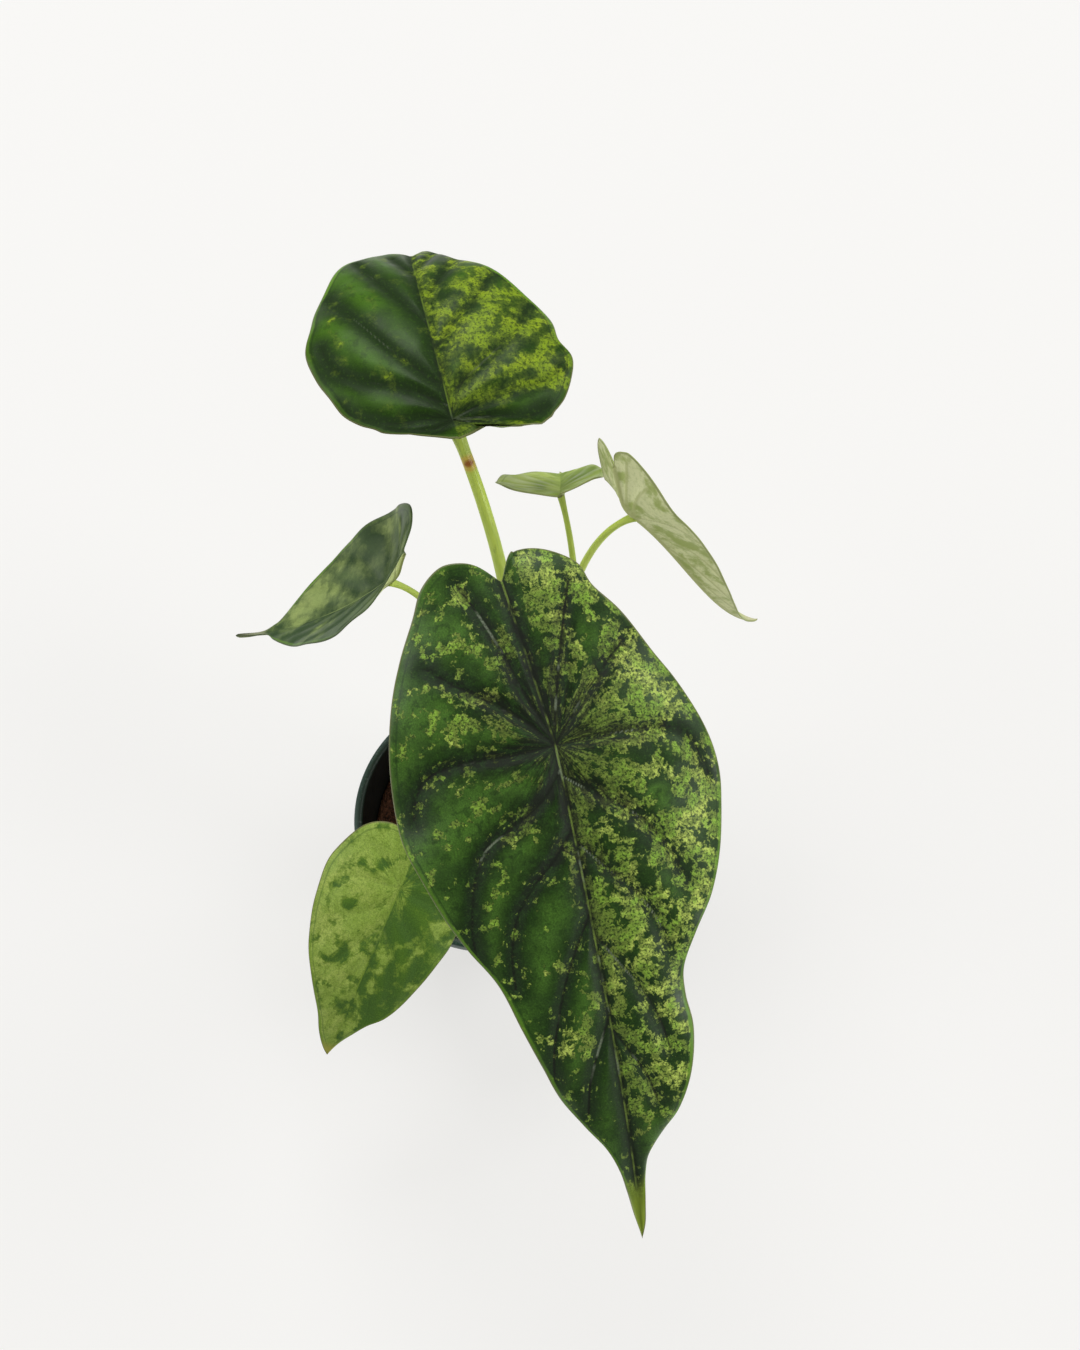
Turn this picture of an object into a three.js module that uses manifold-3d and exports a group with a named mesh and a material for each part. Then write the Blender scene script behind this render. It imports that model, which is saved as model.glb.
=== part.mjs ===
// Potted dragon scale alocasia: a nursery pot filled with potting mix, a short corm at its middle,
// and six peltate leaves, each a blade and a petiole. Millimetres, +Z up, the pot's base centre at the origin.
import * as THREE from "three";
import Module from "manifold-3d";

// ---- pot, in mm
const RIM_OUTER_RADIUS = 55; // half of a 110 mm pot
const POT_HEIGHT = 80;
const BASE_RADIUS = 34;
const WALL = 1.6;
const FLOOR = 2.4;
const RIM_BAND_HEIGHT = 7; // the thick band under the lip
const RIM_BAND_OUT = 1.6; // how far the band stands out of the wall
const RIM_ROLL = 0.9; // rounding of the lip
const POT_SIDES = 56;
const DRAIN_HOLES = 6;
const DRAIN_RADIUS = 3.5;
const DRAIN_RING = 21;

// ---- soil
const SOIL_LEVEL = 64;
const SOIL_LUMP = 1.3; // height of the lumps in the mix
const CLEARANCE = 0.3; // gap between pieces that touch
const SOIL_SIDES = 40;

// ---- corm and the feet of the petioles
const CORM_RADIUS = 5.6;
const CORM_TOP = 72;
const CORM_FOOT = 48;
const PETIOLE_FOOT = 50; // the feet stand this high over the base, in holes in the mix
const HOLE_EASE = 0.45; // the holes are this much wider again, because the petioles lean out of them
const PETIOLE_SIDES = 8;
const PETIOLE_STEPS = 15;

// ---- blades
const BLADE_MIDDLE = 1.0; // thickness by the midrib
const BLADE_MARGIN = 0.8; // thickness at the margin
const RIB_DEPTH = 1.1; // how far the midrib stands out below
const RIB_HALF_WIDTH = 1.6;
const VEIN_FLOOR = 0.5; // half width of the rounded bottom of the groove over a vein
const LOBE_HINGE = 0.45; // share of the back length over which the lobes lift

// A peltate shield outline, from the sinus round one side to the tip:
// [across in half widths, along in front lengths ahead of the petiole or back lengths behind it].
const SHIELD = [
  [0, -0.8], [0.08, -0.92], [0.22, -1], [0.4, -1], [0.6, -0.88], [0.78, -0.62], [0.91, -0.28], [0.98, 0.03],
  [0.97, 0.21], [0.88, 0.4], [0.7, 0.58], [0.46, 0.72], [0.22, 0.81], [0.08, 0.88], [0.03, 0.94], [0, 1],
];

// Main veins of one half of a small leaf, from the midrib outwards, on the same shares as the outline.
const VEINS = [
  [[0, 0], [0.22, 0.01], [0.5, 0.02], [0.74, 0.06], [0.87, 0.15]],
  [[0, 0.06], [0.12, 0.11], [0.3, 0.17], [0.5, 0.23], [0.66, 0.33], [0.72, 0.44]],
  [[0, 0.2], [0.1, 0.26], [0.25, 0.35], [0.4, 0.46], [0.48, 0.58]],
  [[0, 0.38], [0.08, 0.45], [0.2, 0.55], [0.3, 0.67]],
  [[0, 0.58], [0.06, 0.66], [0.13, 0.76]],
  [[0, 0], [0.18, -0.22], [0.4, -0.42], [0.6, -0.52]],
  [[0, 0], [0.1, -0.34], [0.22, -0.66], [0.32, -0.86]],
];

// Each leaf: where its petiole meets it, the turn of its tip (heading 0 = +Y, positive to the left), its dip and roll
// there, its lengths and half widths, the bends along it (arch, droop, lift of the back lobes) and across it (fold, curl).
// backRows is the share of a blade's rows that start behind the petiole, where its sinus reaches almost to it.
const LEAVES = {
  front: {
    at: [23.2, -41.5, 245], heading: 193, dip: 22, roll: 0,
    ahead: 162, behind: 58.5, left: 48, right: 50,
    arch: 22, archEnd: 14, lobeLift: 0, lobeDroop: 10, drift: 1.3,
    fold: [6, 6], curl: [32, 32], sinus: 5,
    leftEdge: [
      [0, -49.5], [4, -57], [8, -58.5], [14, -56.5], [20.2, -50.8], [22.4, -43], [28.2, -34.2], [34.7, -21.6], [40.8, -10.3],
      [46, 4], [48, 17], [46.5, 28.5], [43, 40], [37, 51.5], [30, 61], [24.5, 71], [23.5, 80], [24, 90], [21, 102.5],
      [16, 114.5], [11, 121], [6, 127.5], [3.5, 135], [2, 145], [1.2, 154], [0, 162],
    ],
    rightEdge: [
      [0, -49.5], [6, -55], [12, -57.2], [19, -57], [26.6, -52.3], [31.5, -44.8], [38.5, -34], [43.8, -22], [48, -7],
      [49.8, 8], [49.3, 20], [45.4, 32.2], [41, 44], [36.2, 54], [29.5, 65.5], [25.5, 78.5], [21.5, 92], [18, 104],
      [12.5, 114], [7.2, 122.5], [4.4, 131], [2.9, 141], [1.6, 152], [0, 162],
    ],
    leftVeins: [
      [[0, 0], [12, 0], [25, 0.5], [36, 2], [41, 8], [44, 18]],
      [[0, 9], [8, 15.5], [15, 20.5], [21, 27], [26, 35], [30, 46]],
      [[0, 28], [7, 37], [13, 44], [18, 53], [21, 63]],
      [[0, 55], [5, 64], [10, 73], [14, 83], [16, 94]],
      [[0, 84], [4, 92], [8, 101], [10, 110]],
      [[0, 0], [8, -9], [17, -18], [25, -25], [30, -30]],
      [[0, -2], [4, -16], [9, -32], [14, -46]],
    ],
    rightVeins: [
      [[0, 0], [12, 0.5], [25, 0], [36, 1], [42, 6], [45, 14]],
      [[0, 7], [5, 13], [10, 17], [18, 21], [26, 26], [31, 35], [34, 47], [34.5, 56]],
      [[0, 24], [6, 31], [13, 37], [20, 45], [24, 56], [25, 67]],
      [[0, 49], [5, 57], [10, 66], [14, 76], [17.5, 87], [19, 97]],
      [[0, 80], [5, 90], [9, 100], [11, 110]],
      [[0, 0], [7, -8], [15, -15], [24, -22], [32, -29]],
      [[0, -2], [5, -14], [9, -28], [14, -42], [18, -51]],
    ],
    quilt: 1.4, veinWidth: 3,
    wave: 1.6, waves: 3.4, wavePhase: [0.1, 0.55],
    rows: 46, columns: [0, 0.04, 0.12, 0.22, 0.32, 0.42, 0.52, 0.62, 0.72, 0.82, 0.91, 1],
    petiole: { foot: [3, -9.5], lean: [8, -16, 138], crook: [17, -22, 187], footRadius: 3.3, topRadius: 2.1 },
  },
  back: {
    at: [-10.5, 85.7, 225], heading: 14, dip: -14, roll: 0,
    ahead: 115, behind: 20, left: 44, right: 48,
    arch: 45, archEnd: 33, lobeLift: 57, lobeDroop: 0, drift: 8,
    fold: [8, 8], curl: [28, 32], sinus: 11, backRows: 0.18,
    leftEdge: [
      [0, -2.7], [4.7, -5.5], [8.6, -9.4], [11, -12.2], [13.9, -10.5], [19.8, -4.7], [25.2, 1.2], [30.6, 4.9],
      [35.4, 10.6], [38.6, 19], [42, 27.5], [43.8, 38], [40.4, 49.2], [37.8, 59], [33, 69], [27.5, 79.7],
      [20.5, 88.6], [13.3, 95], [6, 101.5], [1.5, 108], [0, 115],
    ],
    rightEdge: [
      [0, -2.7], [0.4, -5], [2.2, -10], [4.8, -15.8], [9.5, -19.2], [14.5, -17.8], [19.7, -12], [25.6, -5.8],
      [32.8, -2.8], [39, 0.5], [44.3, 8.7], [46.8, 17], [43.5, 24.6], [43.5, 34.2], [40.7, 41.8], [35.5, 50],
      [29.8, 58.8], [23, 69.4], [17.4, 79.2], [12.8, 87.5], [7.7, 95.8], [3, 105], [0, 115],
    ],
    leftVeins: [
      [[0, 0], [10, 1.5], [20, 2.5], [30, 7], [37, 15]],
      [[0, 5], [8, 10.5], [18, 16.5], [28, 21.5], [35, 28], [38, 38]],
      [[0, 12], [8, 21], [16, 32], [23, 44], [29, 55], [32, 64]],
      [[0, 38], [7, 51], [13, 63], [17, 74], [20, 84]],
      [[0, 66], [4, 76], [7, 86]],
      [[0, 0], [7, -3], [14, -3], [22, 1]],
      [[0, 0], [5, -4], [8, -7]],
    ],
    rightVeins: [
      [[0, 0], [9, 2.5], [22, 6], [34, 8], [42, 13]],
      [[0, 8], [10, 15], [20, 22], [30, 31], [36, 42]],
      [[0, 26], [9, 37], [19, 48], [26, 60]],
      [[0, 48], [7, 60], [13, 70], [17, 80]],
      [[0, 70], [5, 80], [8, 90]],
      [[0, 0], [13, -2], [24, -4], [33, -1]],
      [[0, 0], [11, -5], [18, -11], [21, -16]],
    ],
    quilt: 1.5, veinWidth: 3.6,
    wave: 1.4, waves: 2.7, wavePhase: [0.3, 0.8],
    rows: 34, columns: [0, 0.045, 0.14, 0.25, 0.36, 0.48, 0.6, 0.72, 0.87, 1],
    petiole: { foot: [-1, 10], lean: [17, 22.5, 122], crook: [12, 51, 173], footRadius: 3.1, topRadius: 2.1 },
  },
  left: {
    at: [-35.1, 51.6, 176], heading: 96, dip: 50, roll: -21,
    ahead: 76, behind: 22, left: 24.5, right: 32,
    arch: -24, archEnd: -12, lobeLift: 34, lobeDroop: 19, drift: -2,
    fold: [14, 5], curl: [-4, -19], sinus: 0,
    leftEdge: [
      [0, -17], [2, -19.5], [4.8, -19.5], [8.5, -16], [13.5, -11.8], [19.5, -7], [23.2, -1], [24.3, 7.5], [23.8, 16],
      [22.7, 25.5], [17.8, 38], [11.8, 49], [7, 56.3], [2.6, 61], [0.9, 66], [0, 76],
    ],
    rightEdge: [
      [0, -17], [4, -19.5], [8.5, -21.7], [14, -22], [19.5, -20.3], [25.2, -13.7], [30, -6], [31.8, 4.5], [31.8, 14],
      [30.4, 23], [28.6, 30.3], [24.2, 37], [19.7, 42.8], [15.2, 48.6], [10, 54.5], [5, 58.5], [1.9, 62], [0.6, 68],
      [0, 76],
    ],
    quilt: 0.5, veinWidth: 2.4,
    wave: 0.7, waves: 2.6, wavePhase: [0.2, 0.7],
    rows: 20, columns: [0, 0.07, 0.26, 0.46, 0.66, 0.85, 1],
    petiole: { foot: [-9, 4.5], lean: [-12, 15.5, 110.5], crook: [-5, 61, 142], footRadius: 2.4, topRadius: 1.1 },
  },
  far: {
    at: [26, 79.3, 191], heading: -2, dip: 50, roll: 10,
    ahead: 56, behind: 18, left: 23.5, right: 18,
    arch: -6, archEnd: 8, lobeLift: 8, lobeDroop: 8, drift: -2,
    fold: [18, 20], curl: [4, 12], sinus: 0,
    quilt: 0.5, veinWidth: 2.2,
    wave: 0.5, waves: 2.4, wavePhase: [0.4, 0.9],
    rows: 17, columns: [0, 0.08, 0.3, 0.55, 0.78, 1],
    petiole: { foot: [6.5, 8], lean: [34, 23, 121], crook: [37.5, 57, 148], footRadius: 2.2, topRadius: 1.0 },
  },
  right: {
    at: [51.4, 60.3, 205.7], heading: -93.6, dip: 51, roll: 64.5,
    ahead: 89.5, behind: 27, left: 23, right: 22,
    arch: 56, archEnd: -82, lobeLift: 47, lobeDroop: 16, drift: -12,
    fold: [30, -3], curl: [-1, -6], sinus: 0,
    leftEdge: [
      [0, -20.5], [3, -25], [8, -27], [13, -26.5], [19, -21.5], [20.8, -16], [20.8, -9], [21.5, -2], [22.8, 6],
      [23, 14], [22, 23], [20, 33], [16.5, 44], [11.8, 55], [7, 65.5], [3.8, 74], [1.9, 81], [1, 86], [0, 89.5],
    ],
    rightEdge: [
      [0, -20.5], [2, -25.3], [5.6, -27], [9.4, -26.5], [13.4, -21.4], [17.8, -13.4], [21.3, -6.2], [22.2, 0.3],
      [21.3, 9.2], [18.7, 20.4], [16.9, 32], [13.9, 44], [9.4, 54.8], [5.2, 65.6], [2.7, 74.6], [1.5, 81], [1, 86],
      [0, 89.5],
    ],
    quilt: 0.6, veinWidth: 2.4,
    wave: 0.4, waves: 2.5, wavePhase: [0.15, 0.6],
    rows: 20, columns: [0, 0.07, 0.26, 0.46, 0.66, 0.85, 1],
    petiole: { foot: [10, 1], lean: [26, 10, 126], crook: [20, 70.5, 169.5], footRadius: 2.4, topRadius: 1.15 },
  },
  low: {
    at: [-30.8, -46.3, 128], heading: 155, dip: 22, roll: 14,
    ahead: 73, behind: 20, left: 25.5, right: 28.3,
    arch: 28, archEnd: 8, lobeLift: 0, lobeDroop: 8, drift: 0,
    fold: [4, 4], curl: [30, 30], sinus: 2,
    leftEdge: [
      [0, -14], [3.5, -18], [8.5, -20], [15.5, -17], [20.7, -9], [25.3, 2], [25.8, 13], [23.4, 22.5], [20.7, 31.8],
      [17.5, 41.2], [13.7, 48], [8.6, 53.2], [4.8, 60], [2, 66.5], [0, 73],
    ],
    rightEdge: [
      [0, -14], [3.5, -18.2], [8.5, -20], [15.5, -18.7], [21.5, -14.4], [26, -6], [28.3, 2], [27.6, 12], [25.9, 22],
      [22.2, 33.2], [17, 42.5], [12.8, 50.2], [9.2, 56.7], [6.3, 63.2], [2.8, 69.2], [0, 73],
    ],
    quilt: 0.7, veinWidth: 2.4,
    wave: 0.6, waves: 2.6, wavePhase: [0.35, 0.8],
    rows: 20, columns: [0, 0.07, 0.26, 0.46, 0.66, 0.85, 1],
    petiole: { foot: [-7.5, -7], lean: [-13, -16, 92], crook: [-27, -40, 103], footRadius: 2.4, topRadius: 1.3 },
  },
};

const rad = THREE.MathUtils.degToRad;
const step = (t) => ((t = Math.min(1, Math.max(0, t))), t * t * (3 - 2 * t));

// ---- the leaf's middle surface: x across (right positive), y along the midrib to the tip, z up out of the upper face

// Bend of the midrib at a share u of its length: the dip gained since the petiole, and the sideways drift.
function bend(leaf, u) {
  if (u >= 0) return [rad(leaf.arch) * u + rad(leaf.archEnd) * u * u, rad(leaf.drift) * u * u];
  return [rad(leaf.lobeDroop) * u + rad(leaf.lobeLift) * step(-u / LOBE_HINGE), 0];
}

function along(leaf, u) {
  const [dip, drift] = bend(leaf, u);
  return new THREE.Vector3(Math.sin(drift), Math.cos(drift) * Math.cos(dip), -Math.cos(drift) * Math.sin(dip));
}

// The midrib as a list of points, back and ahead of the petiole.
function midrib(leaf) {
  const STEPS = 80;
  const run = (length, sign) => {
    const points = [new THREE.Vector3()];
    for (let i = 0; i < STEPS; i++)
      points.push(points[i].clone().addScaledVector(along(leaf, (sign * (i + 0.5)) / STEPS), (sign * length) / STEPS));
    return points;
  };
  return { ahead: run(leaf.ahead, 1), behind: run(leaf.behind, -1), steps: STEPS };
}

function onMidrib(leaf, rib, u) {
  const line = u >= 0 ? rib.ahead : rib.behind;
  const t = Math.min(Math.abs(u), 1) * rib.steps;
  const i = Math.min(Math.floor(t), rib.steps - 1);
  return line[i].clone().lerp(line[i + 1], t - i);
}

// A half's outline and its veins (side 1 right, 0 left): its own, or the shared ones at its size.
function placed(leaf, side, own, shared) {
  const half = side ? leaf.right : leaf.left;
  return own ?? shared.map(([x, y]) => [x * half, y * (y >= 0 ? leaf.ahead : leaf.behind)]);
}

const edgeOf = (leaf, side) => placed(leaf, side, side ? leaf.rightEdge : leaf.leftEdge, SHIELD);

// The grooves over the veins of one half, as straight pieces [from, to], the midrib among them.
function groovesOf(leaf, side) {
  const own = side ? leaf.rightVeins : leaf.leftVeins;
  const back = (side ? 1 : -1) * leaf.sinus;
  const lines = [[[0, leaf.ahead], [0, 0], [back, edgeOf(leaf, side)[0][1]]]];
  for (const vein of own ?? VEINS.map((v) => placed(leaf, side, null, v))) lines.push(smooth(vein, 3));
  return lines.flatMap((line) => line.slice(1).map((to, i) => [line[i], to]));
}

// Distance from a point of the flat blade to the nearest groove; a is measured outwards from the midrib.
function veinDistance(grooves, a, y) {
  let nearest = Infinity;
  for (const [[ax, ay], [bx, by]] of grooves) {
    const [ux, uy] = [bx - ax, by - ay];
    const t = Math.min(1, Math.max(0, ((a - ax) * ux + (y - ay) * uy) / (ux * ux + uy * uy)));
    nearest = Math.min(nearest, Math.hypot(a - ax - t * ux, y - ay - t * uy));
  }
  return nearest;
}

// Height of the quilting and of the waves of the margin; q runs from 0 at the midrib to 1 at the margin.
function relief(leaf, x, y, q) {
  leaf.grooves ??= [groovesOf(leaf, 0), groovesOf(leaf, 1)];
  const side = x >= 0 ? 1 : 0;
  const d = Math.hypot(veinDistance(leaf.grooves[side], Math.abs(x), y), VEIN_FLOOR) - VEIN_FLOOR;
  const puff = 1 - Math.exp(-d / leaf.veinWidth);
  const wave = leaf.wave * q ** 3 * Math.sin(2 * Math.PI * ((leaf.waves * y) / leaf.ahead + leaf.wavePhase[side]));
  return leaf.quilt * puff * (1 - q ** 4) + wave;
}

// A point of the middle surface; lift is added along the surface's own up direction.
function leafPoint(leaf, rib, x, y, lift) {
  const u = y >= 0 ? y / leaf.ahead : y / leaf.behind;
  const [, drift] = bend(leaf, u);
  const ahead = along(leaf, u);
  const across = new THREE.Vector3(Math.cos(drift), -Math.sin(drift), 0);
  const up = across.clone().cross(ahead);
  const side = x >= 0 ? 1 : 0;
  const half = side ? leaf.right : leaf.left;
  const fold = rad(leaf.fold[side]);
  const curl = rad(leaf.curl[side]);
  const angle = fold - (curl * Math.abs(x)) / half;
  const out = (half / curl) * (Math.sin(fold) - Math.sin(angle));
  const rise = (half / curl) * (Math.cos(angle) - Math.cos(fold));
  return onMidrib(leaf, rib, u)
    .addScaledVector(across, side ? out : -out)
    .addScaledVector(up, rise + lift);
}

// ---- outline

function smooth(points, parts) {
  const first = points[0].map((c, i) => 2 * c - points[1][i]);
  const last = points.at(-1).map((c, i) => 2 * c - points.at(-2)[i]);
  const p = [first, ...points, last];
  const made = [];
  for (let i = 1; i < p.length - 2; i++)
    for (let k = 0; k < parts; k++) {
      const t = k / parts;
      made.push([0, 1].map((c) => {
        const [a, b, d, e] = [p[i - 1][c], p[i][c], p[i + 1][c], p[i + 2][c]];
        return 0.5 * (2 * b + (d - a) * t + (2 * a - 5 * b + 4 * d - e) * t * t + (3 * b - a - 3 * d + e) * t ** 3);
      }));
    }
  made.push(points.at(-1));
  return made;
}

// Rows of [inner point, margin point] from the sinus to the tip for one side (sign +1 right, -1 left).
function rowsOf(leaf, sign, count) {
  const half = sign > 0 ? leaf.right : leaf.left;
  const fine = smooth(edgeOf(leaf, sign > 0 ? 1 : 0), 10);
  const start = fine[0][1];
  const backRows = leaf.backRows ?? -start / (leaf.ahead - start);
  const turned = fine.map(([x, y]) => {
    const near = Math.min(1, Math.max(0, 1 - x / (0.8 * half)));
    return [sign * x + (y < 0 ? leaf.sinus * Math.min(y / start, 1.3) * near : 0), y];
  });
  const lengths = [0];
  for (let i = 1; i < turned.length; i++)
    lengths.push(lengths[i - 1] + Math.hypot(turned[i][0] - turned[i - 1][0], turned[i][1] - turned[i - 1][1]));
  const total = lengths.at(-1);
  const rows = [];
  for (let r = 0; r <= count; r++) {
    const want = (total * r) / count;
    let i = lengths.findIndex((l) => l >= want - 1e-9);
    i = Math.max(1, i);
    const t = (want - lengths[i - 1]) / (lengths[i] - lengths[i - 1]);
    const margin = [0, 1].map((c) => turned[i - 1][c] + t * (turned[i][c] - turned[i - 1][c]));
    const share = r / count - backRows;
    const inner = share < 0 ? (-start * share) / backRows : (leaf.ahead * share) / (1 - backRows);
    rows.push([[inner < 0 ? (leaf.sinus * inner) / start : 0, inner], margin]);
  }
  return rows;
}

// ---- closed bodies

function meshOf(name, vertices, triangles, colour) {
  const geometry = new THREE.BufferGeometry();
  geometry.setAttribute("position", new THREE.Float32BufferAttribute(vertices.flatMap((v) => [v.x, v.y, v.z]), 3));
  geometry.setIndex(triangles.flat());
  geometry.computeVertexNormals();
  const mesh = new THREE.Mesh(geometry, new THREE.MeshStandardMaterial({ color: colour, roughness: 0.5 }));
  mesh.name = name;
  return mesh;
}

function frameOf(leaf) {
  const turn = new THREE.Euler(-rad(leaf.dip), -rad(leaf.roll), rad(leaf.heading), "ZXY");
  return new THREE.Matrix4().makeRotationFromEuler(turn).setPosition(...leaf.at);
}

function bladeOf(name, leaf, colour) {
  const rib = midrib(leaf);
  const place = frameOf(leaf);
  const sides = { 1: rowsOf(leaf, 1, leaf.rows), [-1]: rowsOf(leaf, -1, leaf.rows) };
  const across = leaf.columns.length - 1;
  const flat = (row, column) => {
    const [inner, margin] = sides[column >= 0 ? 1 : -1][row];
    const q = leaf.columns[Math.abs(column)];
    return [inner[0] + (margin[0] - inner[0]) * q, inner[1] + (margin[1] - inner[1]) * q, q];
  };
  const surface = (x, y, q) => leafPoint(leaf, rib, x, y, relief(leaf, x, y, q));
  const upper = [];
  const lower = [];
  const number = new Map();
  const vertex = (row, column) => {
    const key = row === 0 ? "sinus" : row === leaf.rows ? "tip" : row + "," + column;
    if (number.has(key)) return number.get(key);
    const [x, y, q] = row === 0 || row === leaf.rows ? flat(row, 0) : flat(row, column);
    const middle = surface(x, y, q);
    const dx = surface(x + 0.2, y, q).sub(surface(x - 0.2, y, q));
    const dy = surface(x, y + 0.2, q).sub(surface(x, y - 0.2, q));
    const up = dx.cross(dy).normalize();
    const half = (BLADE_MIDDLE + (BLADE_MARGIN - BLADE_MIDDLE) * q) / 2;
    const run = y >= 0 ? 1 - y / leaf.ahead : 1 + (0.6 * y) / leaf.behind;
    const ribbed = RIB_DEPTH * Math.max(0, run) * Math.exp(-((Math.abs(x) / RIB_HALF_WIDTH) ** 2)) * (q < 0.3 ? 1 : 0);
    upper.push(middle.clone().addScaledVector(up, half).applyMatrix4(place));
    lower.push(middle.clone().addScaledVector(up, -half - ribbed).applyMatrix4(place));
    number.set(key, upper.length - 1);
    return upper.length - 1;
  };
  const faces = [];
  for (let row = 0; row < leaf.rows; row++)
    for (let column = -across; column < across; column++) {
      const a = vertex(row, column), b = vertex(row, column + 1);
      const c = vertex(row + 1, column + 1), d = vertex(row + 1, column);
      const split = column >= 0 ? [[a, b, c], [a, c, d]] : [[a, b, d], [b, c, d]];
      for (const [p, q, r] of split) if (p !== q && q !== r && r !== p) faces.push([p, q, r]);
    }
  const n = upper.length;
  const triangles = [...faces, ...faces.map(([a, b, c]) => [a + n, c + n, b + n])];
  for (let row = 0; row < leaf.rows; row++)
    for (const column of [across, -across]) {
      const a = vertex(row, column), b = vertex(row + 1, column);
      triangles.push(...(column > 0 ? [[a, a + n, b + n], [a, b + n, b]] : [[a, b + n, a + n], [a, b, b + n]]));
    }
  return meshOf("blade_" + name, [...upper, ...lower], triangles, colour);
}

// A tube along a list of points; its last ring is cut parallel to the blade above it.
function petioleOf(name, leaf, colour) {
  const { foot, lean, crook, footRadius, topRadius } = leaf.petiole;
  const place = frameOf(leaf);
  const up = new THREE.Vector3(0, 0, 1).transformDirection(place);
  const top = new THREE.Vector3(...leaf.at).addScaledVector(up, -(BLADE_MIDDLE / 2 + RIB_DEPTH + CLEARANCE));
  const root = new THREE.Vector3(foot[0], foot[1], SOIL_LEVEL);
  const curve = new THREE.CubicBezierCurve3(root, new THREE.Vector3(...lean), new THREE.Vector3(...crook), top);
  const spine = [new THREE.Vector3(foot[0], foot[1], PETIOLE_FOOT)];
  for (let i = 0; i <= PETIOLE_STEPS; i++) spine.push(curve.getPoint(i / PETIOLE_STEPS));
  const tangents = spine.map((p, i) => {
    if (i === 0) return new THREE.Vector3(0, 0, 1);
    if (i === spine.length - 1) return curve.getTangent(1);
    return spine[i + 1].clone().sub(spine[i - 1]).normalize();
  });
  let side = new THREE.Vector3(1, 0, 0);
  const vertices = [];
  spine.forEach((p, i) => {
    const t = tangents[i];
    side = side.clone().addScaledVector(t, -side.dot(t)).normalize();
    const other = t.clone().cross(side);
    const share = Math.max(0, i - 1) / PETIOLE_STEPS;
    const flare = 1 + 0.35 * Math.max(0, (share - 0.9) / 0.1);
    const radius = (footRadius + (topRadius - footRadius) * share ** 0.7) * flare;
    for (let k = 0; k < PETIOLE_SIDES; k++) {
      const turn = (2 * Math.PI * k) / PETIOLE_SIDES;
      const v = p.clone().addScaledVector(side, radius * Math.cos(turn)).addScaledVector(other, radius * Math.sin(turn));
      if (i === spine.length - 1) v.addScaledVector(t, top.clone().sub(v).dot(up) / t.dot(up));
      vertices.push(v);
    }
  });
  const triangles = [];
  const n = PETIOLE_SIDES;
  for (let i = 0; i < spine.length - 1; i++)
    for (let k = 0; k < n; k++) {
      const a = i * n + k, b = i * n + ((k + 1) % n);
      triangles.push([a, b, b + n], [a, b + n, a + n]);
    }
  const last = (spine.length - 1) * n;
  for (let k = 1; k < n - 1; k++) {
    triangles.push([0, k + 1, k]);
    triangles.push([last, last + k, last + k + 1]);
  }
  return meshOf("petiole_" + name, vertices, triangles, colour);
}

// A body turned about the pot's axis from a closed profile of [radius, height], its ends on the axis.
function turned(profile, sides, heightOf = (x, y, z) => z) {
  const vertices = [];
  const rings = profile.map(([r, z]) => {
    if (r === 0) {
      vertices.push(new THREE.Vector3(0, 0, heightOf(0, 0, z)));
      return [vertices.length - 1];
    }
    const ring = [];
    for (let k = 0; k < sides; k++) {
      const turn = (2 * Math.PI * k) / sides;
      const x = r * Math.cos(turn), y = r * Math.sin(turn);
      vertices.push(new THREE.Vector3(x, y, heightOf(x, y, z)));
      ring.push(vertices.length - 1);
    }
    return ring;
  });
  const triangles = [];
  for (let i = 0; i < rings.length - 1; i++)
    for (let k = 0; k < sides; k++) {
      const a = rings[i], b = rings[i + 1], m = (k + 1) % sides;
      if (a.length === 1) triangles.push([a[0], b[m], b[k]]);
      else if (b.length === 1) triangles.push([a[k], a[m], b[0]]);
      else triangles.push([a[k], a[m], b[m]], [a[k], b[m], b[k]]);
    }
  return { vertices, triangles };
}

const wasm = await Module();
wasm.setup();

function solid({ vertices, triangles }) {
  return new wasm.Manifold(new wasm.Mesh({
    numProp: 3,
    vertProperties: new Float32Array(vertices.flatMap((v) => [v.x, v.y, v.z])),
    triVerts: new Uint32Array(triangles.flat()),
  }));
}

function meshFrom(name, body, colour) {
  const m = body.getMesh();
  const vertices = [];
  for (let i = 0; i < m.numVert; i++) {
    const o = i * m.numProp;
    vertices.push(new THREE.Vector3(m.vertProperties[o], m.vertProperties[o + 1], m.vertProperties[o + 2]));
  }
  const triangles = [];
  for (let i = 0; i < m.triVerts.length; i += 3) triangles.push([...m.triVerts.slice(i, i + 3)]);
  return meshOf(name, vertices, triangles, colour);
}

const rod = (x, y, low, high, radius, sides) =>
  wasm.Manifold.cylinder(high - low, radius, radius, sides).translate([x, y, low]);

// ---- pot: tapered wall, thick band and rolled lip, holes in the floor beside the middle
const wallOuter = (z) => BASE_RADIUS + ((RIM_OUTER_RADIUS - RIM_BAND_OUT - BASE_RADIUS) * z) / POT_HEIGHT;
const wallInner = (z) => wallOuter(z) - WALL;
const bandLow = POT_HEIGHT - RIM_BAND_HEIGHT;
const potProfile = [
  [0, 0],
  [BASE_RADIUS - 1.2, 0],
  [BASE_RADIUS, 1.2],
  [wallOuter(bandLow - 1), bandLow - 1],
  [RIM_OUTER_RADIUS - 0.5, bandLow],
  [RIM_OUTER_RADIUS, POT_HEIGHT - RIM_ROLL],
  [RIM_OUTER_RADIUS - RIM_ROLL, POT_HEIGHT],
  [wallInner(POT_HEIGHT) + 0.6, POT_HEIGHT],
  [wallInner(POT_HEIGHT) - 0.1, POT_HEIGHT - 1],
  [wallInner(FLOOR), FLOOR],
  [0, FLOOR],
];
let pot = solid(turned(potProfile, POT_SIDES));
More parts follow.
